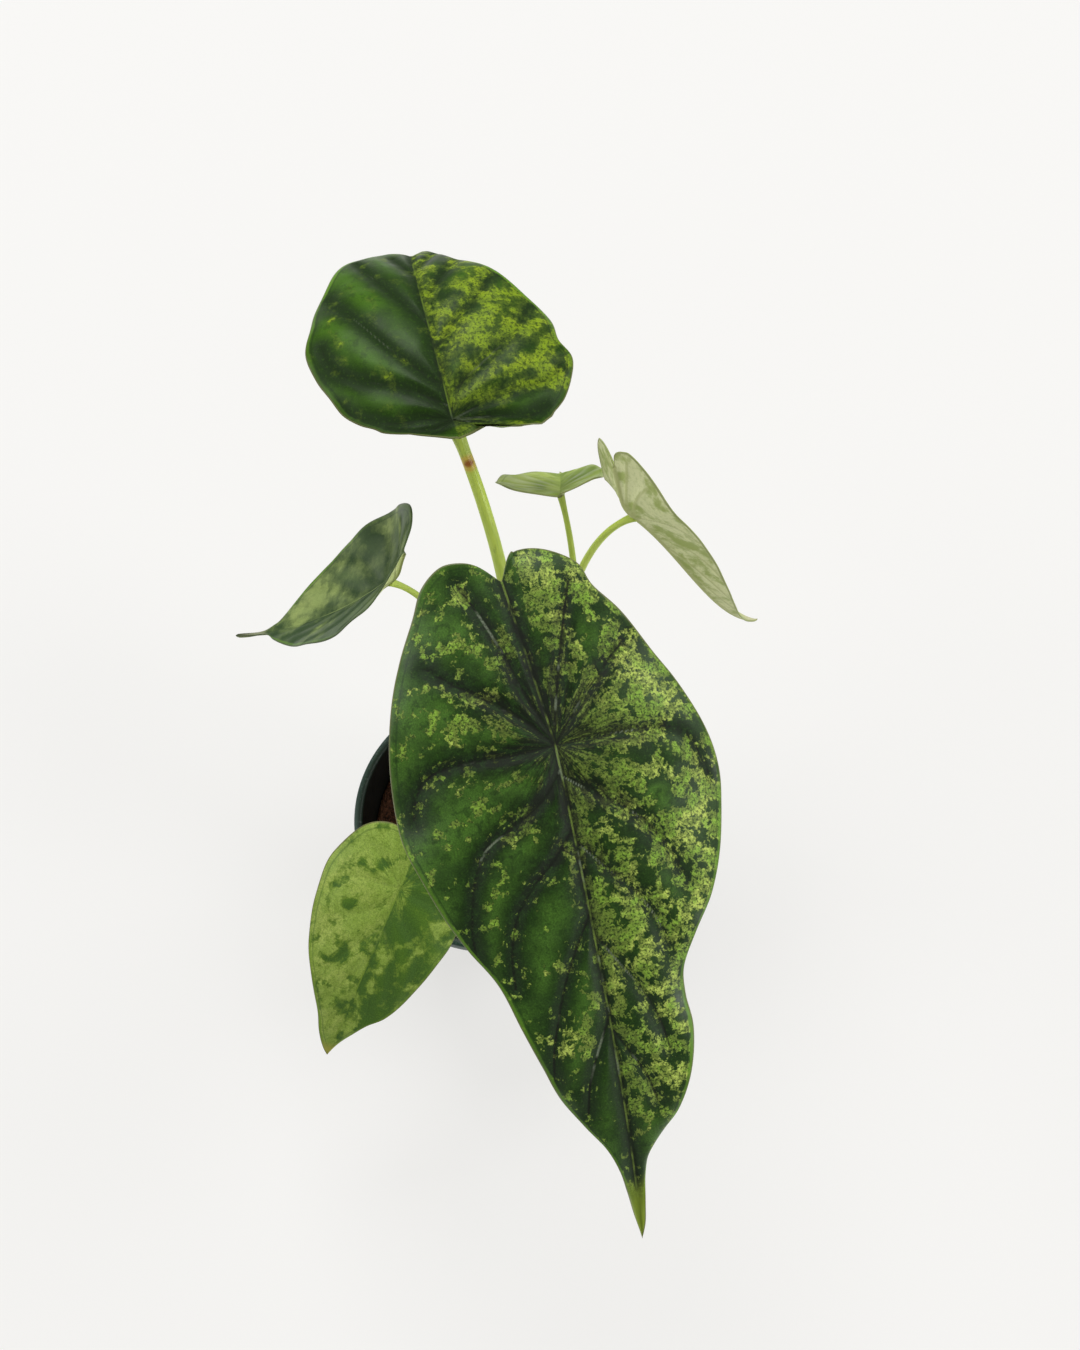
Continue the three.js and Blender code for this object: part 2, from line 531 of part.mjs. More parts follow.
for (let i = 0; i < DRAIN_HOLES; i++) {
  const turn = (2 * Math.PI * (i + 0.5)) / DRAIN_HOLES;
  pot = pot.subtract(rod(DRAIN_RING * Math.cos(turn), DRAIN_RING * Math.sin(turn), -1, FLOOR + 1, DRAIN_RADIUS, 14));
}

// ---- soil: fills the pot, lumpy on top, with a blind hole for the corm and for each petiole
const soilRadius = (z) => wallInner(z) - CLEARANCE;
const lumps = (x, y, z) => {
  const edge = Math.min(1, (soilRadius(SOIL_LEVEL) - Math.hypot(x, y)) / 8);
  const field = Math.sin(x * 0.31 + 1.1) * Math.cos(y * 0.27 - 0.6) + 0.6 * Math.sin(x * 0.63 - y * 0.52 + 2.0);
  return z < SOIL_LEVEL - 0.5 ? z : z + SOIL_LUMP * (0.45 * field + 0.35 * (1 - edge));
};
const soilFoot = FLOOR + CLEARANCE;
const soilProfile = [
  [0, soilFoot],
  [soilRadius(soilFoot), soilFoot],
  [soilRadius(SOIL_LEVEL), SOIL_LEVEL],
  ...[0.9, 0.76, 0.62, 0.48, 0.34, 0.18].map((share) => [soilRadius(SOIL_LEVEL) * share, SOIL_LEVEL]),
  [0, SOIL_LEVEL],
];
let soil = solid(turned(soilProfile, SOIL_SIDES, lumps));
soil = soil.subtract(rod(0, 0, CORM_FOOT - CLEARANCE, POT_HEIGHT, CORM_RADIUS + CLEARANCE, 16));
for (const leaf of Object.values(LEAVES)) {
  const [x, y] = leaf.petiole.foot;
  soil = soil.subtract(rod(x, y, PETIOLE_FOOT - CLEARANCE, POT_HEIGHT, leaf.petiole.footRadius + CLEARANCE + HOLE_EASE, 12));
}

// ---- corm: a short ringed stub
const cormProfile = [
  [0, CORM_FOOT],
  [CORM_RADIUS - 1, CORM_FOOT],
  [CORM_RADIUS, CORM_FOOT + 2],
  [CORM_RADIUS, 64],
  [CORM_RADIUS - 0.6, 66],
  [CORM_RADIUS - 0.3, 68],
  [CORM_RADIUS - 1.6, 70],
  [CORM_RADIUS - 3.2, CORM_TOP - 0.5],
  [0, CORM_TOP],
];
const corm = turned(cormProfile, 16);

const BLADE_GREEN = { front: 0x2f5a24, back: 0x3a6b28, left: 0x4f6f3a, far: 0x9bb573, right: 0x9bb573, low: 0x7fa23c };
const PETIOLE_GREEN = 0xa9c452;
const plant = new THREE.Group();
plant.name = "potted_alocasia";
plant.add(meshFrom("pot", pot, 0x26322c));
plant.add(meshFrom("soil", soil, 0x3a241b));
plant.add(meshOf("corm", corm.vertices, corm.triangles, 0x6b5a3a));
for (const [name, leaf] of Object.entries(LEAVES)) {
  plant.add(petioleOf(name, leaf, PETIOLE_GREEN));
  plant.add(bladeOf(name, leaf, BLADE_GREEN[name]));
}

export default plant;
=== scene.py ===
# %% [markdown]
# # A potted dragon scale alocasia
# A young aroid in a dark plastic nursery pot. Six peltate leaves stand on lime green stalks: one large
# blade marbled with lime leans over the pot, a second one arches away behind it, and four small ones fill
# the gaps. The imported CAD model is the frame. Every piece made here stands exactly where its solid stands,
# in metres, and only adds the finer shape and the finish.

import math
import random

import bmesh
import bpy
import numpy as np
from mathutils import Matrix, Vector, noise


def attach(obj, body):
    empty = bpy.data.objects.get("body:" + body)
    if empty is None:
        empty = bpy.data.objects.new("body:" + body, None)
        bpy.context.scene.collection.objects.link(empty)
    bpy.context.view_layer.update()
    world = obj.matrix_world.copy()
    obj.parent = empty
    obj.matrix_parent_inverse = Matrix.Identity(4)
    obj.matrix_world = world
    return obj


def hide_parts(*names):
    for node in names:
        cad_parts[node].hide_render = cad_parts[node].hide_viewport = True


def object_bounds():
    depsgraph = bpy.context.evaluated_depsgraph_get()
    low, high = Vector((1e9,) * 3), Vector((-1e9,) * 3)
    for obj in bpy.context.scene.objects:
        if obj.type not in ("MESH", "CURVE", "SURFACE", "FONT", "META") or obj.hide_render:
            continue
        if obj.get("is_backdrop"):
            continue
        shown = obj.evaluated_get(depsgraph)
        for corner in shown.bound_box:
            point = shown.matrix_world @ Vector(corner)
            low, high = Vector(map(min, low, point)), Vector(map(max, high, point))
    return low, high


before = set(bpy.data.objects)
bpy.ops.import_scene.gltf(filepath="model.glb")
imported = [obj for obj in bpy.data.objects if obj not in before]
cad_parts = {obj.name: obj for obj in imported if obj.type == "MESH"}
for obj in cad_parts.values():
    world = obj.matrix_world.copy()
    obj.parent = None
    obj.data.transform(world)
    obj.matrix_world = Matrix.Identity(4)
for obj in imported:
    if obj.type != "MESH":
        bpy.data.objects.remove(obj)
cad_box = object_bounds()
MM = 0.001
print("CAD nodes:", sorted(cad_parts))

# %% [markdown]
# ## The camera
# The photograph looks down on the plant at about 64 degrees, from a little over half a metre above the
# floor. A 40 mm lens on a 36 mm sensor gives the same angle of view, and the picture's middle is the lens
# axis, so no shift is needed. The camera comes first, so that each finish can be judged in the photograph's
# own frame.

# %% Set up the camera
CAMERA_PLACE = (0.0189, -0.2118, 0.6400)
CAMERA_ELEVATION = 64.0
LENS = 40.0  # mm
SENSOR_WIDTH = 36.0  # mm


def put_in_scene(name, data):
    """A new object round a mesh, a light or a camera, linked to the scene."""
    made = bpy.data.objects.new(name, data)
    bpy.context.scene.collection.objects.link(made)
    return made


camera_data = bpy.data.cameras.new("camera")
camera_data.lens = LENS
camera_data.sensor_width = SENSOR_WIDTH
camera = put_in_scene("camera", camera_data)
camera.location = CAMERA_PLACE
camera.rotation_euler = (math.radians(90.0 - CAMERA_ELEVATION), 0.0, 0.0)
bpy.context.scene.camera = camera
bpy.context.scene.view_settings.view_transform = "Standard"
print("camera at", CAMERA_PLACE)

# %% [markdown]
# ## Floor and studio light
# The plant stands on an off-white table with hardly a shadow. Strong lamps would bleach the table or veil
# the dark leaves with grey, so the table glows a little by itself, and four soft boxes stay weak: one
# behind the plant lights the far leaves, three at its sides shape the quilting. The sky is brighter to the
# camera than to the leaves for the same reason.

# %% Lay the floor and hang the lights
FLOOR_TONE = (0.28, 0.278, 0.273, 1.0)
FLOOR_GLOW = (0.62, 0.615, 0.603, 1.0)  # the floor is a lit table, so shadows on it stay faint
FLOOR_HALF = 3.0
FLOOR_DROP = 0.0002  # keeps the table clear of the pot's foot
SKY_TONE = (0.915, 0.905, 0.89, 1.0)
SKY_FILL = 0.22
PLANT_MIDDLE = Vector((0.0, 0.02, 0.15))

floor_mesh = bpy.data.meshes.new("floor")
corners = [(x * FLOOR_HALF, y * FLOOR_HALF, 0.0) for x, y in ((-1, -1), (1, -1), (1, 1), (-1, 1))]
floor_mesh.from_pydata(corners, [], [(0, 1, 2, 3)])
floor = put_in_scene("floor", floor_mesh)
floor.location.z = -FLOOR_DROP
floor_paint = bpy.data.materials.new("floor paint")
floor_paint.use_nodes = True
floor_shader = floor_paint.node_tree.nodes["Principled BSDF"]
floor_shader.inputs["Base Color"].default_value = FLOOR_TONE
floor_shader.inputs["Roughness"].default_value = 0.9
floor_shader.inputs["Specular IOR Level"].default_value = 0.0
floor_shader.inputs["Emission Color"].default_value = FLOOR_GLOW
floor_shader.inputs["Emission Strength"].default_value = 1.0
floor_mesh.materials.append(floor_paint)
floor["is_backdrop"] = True


def hang_softbox(name, place, size, watts):
    """A square area light that faces the middle of the plant."""
    data = bpy.data.lights.new(name, "AREA")
    data.shape = "SQUARE"
    data.size = size
    data.energy = watts
    box = put_in_scene(name, data)
    box.location = place
    box.rotation_euler = (PLANT_MIDDLE - Vector(place)).to_track_quat("-Z", "Y").to_euler()


hang_softbox("window_back", (-0.5, 2.5, 3.5), 2.4, 104.0)
hang_softbox("window_left", (-3.0, 0.2, 2.0), 2.0, 50.0)
hang_softbox("strip_right", (2.7, -1.24, 0.96), 1.0, 30.0)
hang_softbox("window_right", (2.8, 1.0, 2.6), 2.0, 48.0)

world = bpy.data.worlds.new("studio")
world.use_nodes = True
bpy.context.scene.world = world
sky = world.node_tree
sky.nodes.clear()
sky_fill = sky.nodes.new("ShaderNodeBackground")
sky_fill.inputs["Color"].default_value = SKY_TONE
sky_fill.inputs["Strength"].default_value = SKY_FILL
sky_seen = sky.nodes.new("ShaderNodeBackground")
sky_seen.inputs["Color"].default_value = SKY_TONE
sky_path = sky.nodes.new("ShaderNodeLightPath")
sky_mix = sky.nodes.new("ShaderNodeMixShader")
sky_out = sky.nodes.new("ShaderNodeOutputWorld")
sky.links.new(sky_path.outputs["Is Camera Ray"], sky_mix.inputs[0])
sky.links.new(sky_fill.outputs[0], sky_mix.inputs[1])
sky.links.new(sky_seen.outputs[0], sky_mix.inputs[2])
sky.links.new(sky_mix.outputs[0], sky_out.inputs["Surface"])
print("four soft boxes and a pale sky")

# %% [markdown]
# ## The plan of the leaves
# A leaf is described flat first, in millimetres: x across, y along the midrib, with the stalk's joint at
# (0, 0) and the tip at the largest y. Behind the joint two lobes run back to the notch. Each leaf then has
# a place, a turn of its tip, a dip and a roll, and the bends that shape it along and across. These are the
# same numbers as in the CAD source, so the fine blades fall on the solid ones.

# %% Write down the six leaves
LOBE_HINGE = 0.45  # share of the back length over which the lobes lift
SHIELD = [
    (0, -0.8), (0.08, -0.92), (0.22, -1), (0.4, -1), (0.6, -0.88), (0.78, -0.62), (0.91, -0.28), (0.98, 0.03),
    (0.97, 0.21), (0.88, 0.4), (0.7, 0.58), (0.46, 0.72), (0.22, 0.81), (0.08, 0.88), (0.03, 0.94), (0, 1),
]
VEINS = [
    [(0, 0), (0.22, 0.01), (0.5, 0.02), (0.74, 0.06), (0.87, 0.15)],
    [(0, 0.06), (0.12, 0.11), (0.3, 0.17), (0.5, 0.23), (0.66, 0.33), (0.72, 0.44)],
    [(0, 0.2), (0.1, 0.26), (0.25, 0.35), (0.4, 0.46), (0.48, 0.58)],
    [(0, 0.38), (0.08, 0.45), (0.2, 0.55), (0.3, 0.67)],
    [(0, 0.58), (0.06, 0.66), (0.13, 0.76)],
    [(0, 0), (0.18, -0.22), (0.4, -0.42), (0.6, -0.52)],
    [(0, 0), (0.1, -0.34), (0.22, -0.66), (0.32, -0.86)],
]
LEAVES = {
    "front": dict(
        at=(23.2, -41.5, 245), heading=193, dip=22, roll=0, ahead=162, behind=58.5, left=48, right=50,
        arch=22, arch_end=14, lobe_lift=0, lobe_droop=10, drift=1.3, fold=(6, 6), curl=(32, 32), sinus=5,
        left_edge=[
            (0, -49.5), (4, -57), (8, -58.5), (14, -56.5), (20.2, -50.8), (22.4, -43), (28.2, -34.2),
            (34.7, -21.6), (40.8, -10.3), (46, 4), (48, 17), (46.5, 28.5), (43, 40), (37, 51.5), (30, 61),
            (24.5, 71), (23.5, 80), (24, 90), (21, 102.5), (16, 114.5), (11, 121), (6, 127.5), (3.5, 135),
            (2, 145), (1.2, 154), (0, 162),
        ],
        right_edge=[
            (0, -49.5), (6, -55), (12, -57.2), (19, -57), (26.6, -52.3), (31.5, -44.8), (38.5, -34),
            (43.8, -22), (48, -7), (49.8, 8), (49.3, 20), (45.4, 32.2), (41, 44), (36.2, 54),
            (29.5, 65.5), (25.5, 78.5), (21.5, 92), (18, 104), (12.5, 114), (7.2, 122.5), (4.4, 131),
            (2.9, 141), (1.6, 152), (0, 162),
        ],
        left_veins=[
            [(0, 0), (12, 0), (25, 0.5), (36, 2), (41, 8), (44, 18)],
            [(0, 9), (8, 15.5), (15, 20.5), (21, 27), (26, 35), (30, 46)],
            [(0, 28), (7, 37), (13, 44), (18, 53), (21, 63)],
            [(0, 55), (5, 64), (10, 73), (14, 83), (16, 94)],
            [(0, 84), (4, 92), (8, 101), (10, 110)],
            [(0, 0), (8, -9), (17, -18), (25, -25), (30, -30)],
            [(0, -2), (4, -16), (9, -32), (14, -46)],
        ],
        right_veins=[
            [(0, 0), (12, 0.5), (25, 0), (36, 1), (42, 6), (45, 14)],
            [(0, 7), (5, 13), (10, 17), (18, 21), (26, 26), (31, 35), (34, 47), (34.5, 56)],
            [(0, 24), (6, 31), (13, 37), (20, 45), (24, 56), (25, 67)],
            [(0, 49), (5, 57), (10, 66), (14, 76), (17.5, 87), (19, 97)],
            [(0, 80), (5, 90), (9, 100), (11, 110)],
            [(0, 0), (7, -8), (15, -15), (24, -22), (32, -29)],
            [(0, -2), (5, -14), (9, -28), (14, -42), (18, -51)],
        ],
        quilt=1.4, vein_width=3, wave=1.6, waves=3.4, wave_phase=(0.1, 0.55), rows=250, columns=54,
        foot=(3, -9.5), lean=(8, -16, 138), crook=(17, -22, 187), foot_radius=3.3, top_radius=2.1,
    ),
    "back": dict(
        at=(-10.5, 85.7, 225), heading=14, dip=-14, roll=0, ahead=115, behind=20, left=44, right=48,
        arch=45, arch_end=33, lobe_lift=57, lobe_droop=0, drift=8, fold=(8, 8), curl=(28, 32), sinus=11,
        left_edge=[
            (0, -2.7), (4.7, -5.5), (8.6, -9.4), (11, -12.2), (13.9, -10.5), (19.8, -4.7), (25.2, 1.2),
            (30.6, 4.9), (35.4, 10.6), (38.6, 19), (42, 27.5), (43.8, 38), (40.4, 49.2), (37.8, 59),
            (33, 69), (27.5, 79.7), (20.5, 88.6), (13.3, 95), (6, 101.5), (1.5, 108), (0, 115),
        ],
        right_edge=[
            (0, -2.7), (0.4, -5), (2.2, -10), (4.8, -15.8), (9.5, -19.2), (14.5, -17.8), (19.7, -12),
            (25.6, -5.8), (32.8, -2.8), (39, 0.5), (44.3, 8.7), (46.8, 17), (43.5, 24.6), (43.5, 34.2),
            (40.7, 41.8), (35.5, 50), (29.8, 58.8), (23, 69.4), (17.4, 79.2), (12.8, 87.5),
            (7.7, 95.8), (3, 105), (0, 115),
        ],
        left_veins=[
            [(0, 0), (10, 1.5), (20, 2.5), (30, 7), (37, 15)],
            [(0, 5), (8, 10.5), (18, 16.5), (28, 21.5), (35, 28), (38, 38)],
            [(0, 12), (8, 21), (16, 32), (23, 44), (29, 55), (32, 64)],
            [(0, 38), (7, 51), (13, 63), (17, 74), (20, 84)],
            [(0, 66), (4, 76), (7, 86)],
            [(0, 0), (7, -3), (14, -3), (22, 1)],
            [(0, 0), (5, -4), (8, -7)],
        ],
        right_veins=[
            [(0, 0), (9, 2.5), (22, 6), (34, 8), (42, 13)],
            [(0, 8), (10, 15), (20, 22), (30, 31), (36, 42)],
            [(0, 26), (9, 37), (19, 48), (26, 60)],
            [(0, 48), (7, 60), (13, 70), (17, 80)],
            [(0, 70), (5, 80), (8, 90)],
            [(0, 0), (13, -2), (24, -4), (33, -1)],
            [(0, 0), (11, -5), (18, -11), (21, -16)],
        ],
        quilt=1.5, vein_width=3.6, wave=1.4, waves=2.7, wave_phase=(0.3, 0.8), rows=190, columns=50,
        back_rows=0.18,
        foot=(-1, 10), lean=(17, 22.5, 122), crook=(12, 51, 173), foot_radius=3.1, top_radius=2.1,
    ),
    "left": dict(
        at=(-35.1, 51.6, 176), heading=96, dip=50, roll=-21, ahead=76, behind=22, left=24.5, right=32,
        arch=-24, arch_end=-12, lobe_lift=34, lobe_droop=19, drift=-2, fold=(14, 5), curl=(-4, -19), sinus=0,
        left_edge=[
            (0, -17), (2, -19.5), (4.8, -19.5), (8.5, -16), (13.5, -11.8), (19.5, -7), (23.2, -1),
            (24.3, 7.5), (23.8, 16), (22.7, 25.5), (17.8, 38), (11.8, 49), (7, 56.3), (2.6, 61),
            (0.9, 66), (0, 76),
        ],
        right_edge=[
            (0, -17), (4, -19.5), (8.5, -21.7), (14, -22), (19.5, -20.3), (25.2, -13.7), (30, -6),
            (31.8, 4.5), (31.8, 14), (30.4, 23), (28.6, 30.3), (24.2, 37), (19.7, 42.8), (15.2, 48.6),
            (10, 54.5), (5, 58.5), (1.9, 62), (0.6, 68), (0, 76),
        ],
        quilt=0.5, vein_width=2.4, wave=0.7, waves=2.6, wave_phase=(0.2, 0.7), rows=120, columns=34,
        foot=(-9, 4.5), lean=(-12, 15.5, 110.5), crook=(-5, 61, 142), foot_radius=2.4, top_radius=1.1,
    ),
    "far": dict(
        at=(26, 79.3, 191), heading=-2, dip=50, roll=10, ahead=56, behind=18, left=23.5, right=18,
        arch=-6, arch_end=8, lobe_lift=8, lobe_droop=8, drift=-2, fold=(18, 20), curl=(4, 12), sinus=0,
        quilt=0.5, vein_width=2.2, wave=0.5, waves=2.4, wave_phase=(0.4, 0.9), rows=110, columns=30,
        foot=(6.5, 8), lean=(34, 23, 121), crook=(37.5, 57, 148), foot_radius=2.2, top_radius=1,
    ),
    "right": dict(
        at=(51.4, 60.3, 205.7), heading=-93.6, dip=51, roll=64.5, ahead=89.5, behind=27, left=23, right=22,
        arch=56, arch_end=-82, lobe_lift=47, lobe_droop=16, drift=-12, fold=(30, -3), curl=(-1, -6), sinus=0,
        left_edge=[
            (0, -20.5), (3, -25), (8, -27), (13, -26.5), (19, -21.5), (20.8, -16), (20.8, -9), (21.5, -2),
            (22.8, 6), (23, 14), (22, 23), (20, 33), (16.5, 44), (11.8, 55), (7, 65.5), (3.8, 74),
            (1.9, 81), (1, 86), (0, 89.5),
        ],
        right_edge=[
            (0, -20.5), (2, -25.3), (5.6, -27), (9.4, -26.5), (13.4, -21.4), (17.8, -13.4), (21.3, -6.2),
            (22.2, 0.3), (21.3, 9.2), (18.7, 20.4), (16.9, 32), (13.9, 44), (9.4, 54.8), (5.2, 65.6),
            (2.7, 74.6), (1.5, 81), (1, 86), (0, 89.5),
        ],
        quilt=0.6, vein_width=2.4, wave=0.4, waves=2.5, wave_phase=(0.15, 0.6), rows=130, columns=34,
        foot=(10, 1), lean=(26, 10, 126), crook=(20, 70.5, 169.5), foot_radius=2.4, top_radius=1.15,
    ),
    "low": dict(
        at=(-30.8, -46.3, 128), heading=155, dip=22, roll=14, ahead=73, behind=20, left=25.5, right=28.3,
        arch=28, arch_end=8, lobe_lift=0, lobe_droop=8, drift=0, fold=(4, 4), curl=(30, 30), sinus=2,
        left_edge=[
            (0, -14), (3.5, -18), (8.5, -20), (15.5, -17), (20.7, -9), (25.3, 2), (25.8, 13),
            (23.4, 22.5), (20.7, 31.8), (17.5, 41.2), (13.7, 48), (8.6, 53.2), (4.8, 60), (2, 66.5),
            (0, 73),
        ],
        right_edge=[
            (0, -14), (3.5, -18.2), (8.5, -20), (15.5, -18.7), (21.5, -14.4), (26, -6), (28.3, 2),
            (27.6, 12), (25.9, 22), (22.2, 33.2), (17, 42.5), (12.8, 50.2), (9.2, 56.7), (6.3, 63.2),
            (2.8, 69.2), (0, 73),
        ],
        quilt=0.7, vein_width=2.4, wave=0.6, waves=2.6, wave_phase=(0.35, 0.8), rows=130, columns=36,
        foot=(-7.5, -7), lean=(-13, -16, 92), crook=(-27, -40, 103), foot_radius=2.4, top_radius=1.3,
    ),
}
print(len(LEAVES), "leaves, the longest", LEAVES["front"]["ahead"] + LEAVES["front"]["behind"], "mm")

# %% [markdown]
# ## Bending a flat leaf into space
# The midrib is followed first: it dips more and more towards the tip, and the back lobes lift or droop
# behind the joint. Each point beside it then lies on an arc across the midrib, folded up or down and
# curled. Working on whole arrays of points keeps the script quick, where a loop over single vertices would
# take minutes.

# %% Bend the midrib and the halves
MIDRIB_STEPS = 80


def smoothstep(t):
    t = np.clip(t, 0.0, 1.0)
    return t * t * (3.0 - 2.0 * t)


def lean_of(leaf, share):
    """Dip and sideways drift of the midrib, in radians, at a share of its length."""
    ahead = np.radians(leaf["arch"] * share + leaf["arch_end"] * share**2)
    behind = np.radians(leaf["lobe_droop"] * share + leaf["lobe_lift"] * smoothstep(-share / LOBE_HINGE))
    drift = np.where(share >= 0, np.radians(leaf["drift"] * share**2), 0.0)
    return np.where(share >= 0, ahead, behind), drift


def direction_of(leaf, share):
    dip, drift = lean_of(leaf, share)
    return np.stack([np.sin(drift), np.cos(drift) * np.cos(dip), -np.cos(drift) * np.sin(dip)], -1)


def midrib_of(leaf):
    """Flat y of the midrib's stations and their places."""
    middle = (np.arange(MIDRIB_STEPS) + 0.5) / MIDRIB_STEPS
    share = np.linspace(0.0, 1.0, MIDRIB_STEPS + 1)
    runs = []
    for length, sign in ((leaf["behind"], -1), (leaf["ahead"], 1)):
        pieces = direction_of(leaf, sign * middle) * sign * length / MIDRIB_STEPS
        runs.append(np.vstack([np.zeros(3), np.cumsum(pieces, 0)]))
    y = np.r_[-share[::-1] * leaf["behind"], share[1:] * leaf["ahead"]]
    return y, np.vstack([runs[0][::-1], runs[1][1:]])


def lay_in_leaf(leaf, x, y, lift):
    """Places, in the leaf's own frame, of flat points raised by lift off the middle surface."""
    share = np.where(y >= 0, y / leaf["ahead"], y / leaf["behind"])
    _, drift = lean_of(leaf, share)
    across = np.stack([np.cos(drift), -np.sin(drift), np.zeros_like(drift)], -1)
    up = np.cross(across, direction_of(leaf, share))
    right = x >= 0
    half = np.where(right, leaf["right"], leaf["left"])
    fold = np.radians(np.where(right, leaf["fold"][1], leaf["fold"][0]))
    curl = np.radians(np.where(right, leaf["curl"][1], leaf["curl"][0]))
    angle = fold - curl * np.abs(x) / half
    out = half / curl * (np.sin(fold) - np.sin(angle)) * np.where(right, 1.0, -1.0)
    rise = half / curl * (np.cos(angle) - np.cos(fold))
    stations, line = midrib_of(leaf)
    middle = np.stack([np.interp(y, stations, line[:, i]) for i in range(3)], -1)
    return middle + across * out[..., None] + up * (rise + lift)[..., None]


def turn_of(leaf):
    """Rotation of the leaf: roll about its length, then dip, then the heading of its tip."""
    heading, dip, roll = (math.radians(leaf[key]) for key in ("heading", "dip", "roll"))
    ch, sh, cd, sd, cr, sr = (f(a) for a in (heading, -dip, -roll) for f in (math.cos, math.sin))
    about_z = np.array([[ch, -sh, 0], [sh, ch, 0], [0, 0, 1]])
    about_x = np.array([[1, 0, 0], [0, cd, -sd], [0, sd, cd]])
    about_y = np.array([[cr, 0, sr], [0, 1, 0], [-sr, 0, cr]])
    return about_z @ about_x @ about_y


def to_plant(leaf, points):
    return points @ turn_of(leaf).T + np.array(leaf["at"], float)


for name, leaf in LEAVES.items():
    tip = to_plant(leaf, lay_in_leaf(leaf, np.zeros(1), np.array([float(leaf["ahead"])]), np.zeros(1)))[0]
    print("tip of the", name, "leaf at", np.round(tip).astype(int), "mm")

# %% [markdown]
# ## Veins and quilting
# This species is named for its scales: the blade swells up between its main veins and sinks along them. The
# main veins are drawn as curves on the flat leaf. The distance from each point to the nearest of them
# drives the relief here, and later also the colours: the leaf is darker along its veins, partly in its own
# tone and partly in painted shade in the grooves.

# %% Draw the veins and the relief
VEIN_FLOOR = 0.5  # half width of the rounded bottom of a groove, mm
MIDRIB_LINE = 0.45  # half width of the thin ridge inside the midrib's groove
PUCKER = 0.28  # height of the small uneven puckers
PUCKER_SIZE = 6.0
RIDGE_HEIGHT = 0.25  # height of the thin ridge, at full quilting
FULL_QUILT = 1.9  # the quilting at which ridges and ribs have their full height


def smooth_line(points, parts):
    """A curve through the points, cut into short straight pieces."""
    p = np.array(points, float)
    p = np.vstack([2 * p[0] - p[1], p, 2 * p[-1] - p[-2]])
    made = []
    for i in range(1, len(p) - 2):
        a, b, c, d = p[i - 1 : i + 3]
        for k in range(parts):
            t = k / parts
            curve = 2 * b + (c - a) * t + (2 * a - 5 * b + 4 * c - d) * t**2 + (3 * b - a - 3 * c + d) * t**3
            made.append(0.5 * curve)
    made.append(p[-2])
    return np.array(made)


def placed(leaf, side, shared):
    """A shared outline or vein at the size of one half of a leaf."""
    half = leaf["right"] if side > 0 else leaf["left"]
    return [(x * half, y * (leaf["ahead"] if y >= 0 else leaf["behind"])) for x, y in shared]


def edge_of(leaf, side):
    return leaf.get("right_edge" if side > 0 else "left_edge") or placed(leaf, side, SHIELD)


def midrib_line(leaf, side):
    """The flat midrib of one half: straight ahead of the joint, towards the notch behind it."""
    return np.array([(0, leaf["ahead"]), (0, 0), (side * leaf["sinus"], edge_of(leaf, side)[0][1])], float)


def side_veins(leaf, side):
    own = leaf.get("right_veins" if side > 0 else "left_veins")
    return [smooth_line(vein, 6) for vein in own or [placed(leaf, side, vein) for vein in VEINS]]


def distance_to(lines, a, y):
    """Distance of flat points to the nearest of some lines; a is measured outwards from the midrib."""
    nearest = np.full(a.shape, 1e9)
    for line in lines:
        for start, end in zip(line[:-1], line[1:]):
            run = end - start
            t = np.clip(((a - start[0]) * run[0] + (y - start[1]) * run[1]) / (run @ run), 0.0, 1.0)
            nearest = np.minimum(nearest, np.hypot(a - start[0] - t * run[0], y - start[1] - t * run[1]))
    return nearest


def vein_fields(leaf, x, y):
    """Distances to the nearest side vein and to the midrib, in mm."""
    lateral = np.empty_like(x)
    central = np.empty_like(x)
    for side, here in ((1, x >= 0), (-1, x < 0)):
        a = np.abs(x[here])
        lateral[here] = distance_to(side_veins(leaf, side), a, y[here])
        central[here] = distance_to([midrib_line(leaf, side)], a, y[here])
    return lateral, central


def relief(leaf, x, y, q, lateral, central):
    """Height of the quilting, the puckers and the waved margin; q is 0 at the midrib and 1 at the margin."""
    nearest = np.minimum(lateral, central)
    puff = 1.0 - np.exp(-(np.hypot(nearest, VEIN_FLOOR) - VEIN_FLOOR) / leaf["vein_width"])
    phase = np.where(x >= 0, leaf["wave_phase"][1], leaf["wave_phase"][0])
    wave = leaf["wave"] * q**3 * np.sin(2 * np.pi * (leaf["waves"] * y / leaf["ahead"] + phase))
    spots = zip(x.flat, y.flat)
    pucker = np.array([noise.noise((a / PUCKER_SIZE, b / PUCKER_SIZE, leaf["dip"])) for a, b in spots])
    pucker = pucker.reshape(x.shape) * PUCKER * leaf["quilt"] / 2.0
    ridge = RIDGE_HEIGHT * leaf["quilt"] / FULL_QUILT * np.exp(-((central / MIDRIB_LINE) ** 2)) * (y > 0)
    return leaf["quilt"] * puff * (1.0 - q**4) + wave + pucker * puff * (1.0 - q**6) + ridge


drawn = LEAVES["front"]["left_veins"] + LEAVES["front"]["right_veins"]
print("main veins of the front leaf:", len(drawn))
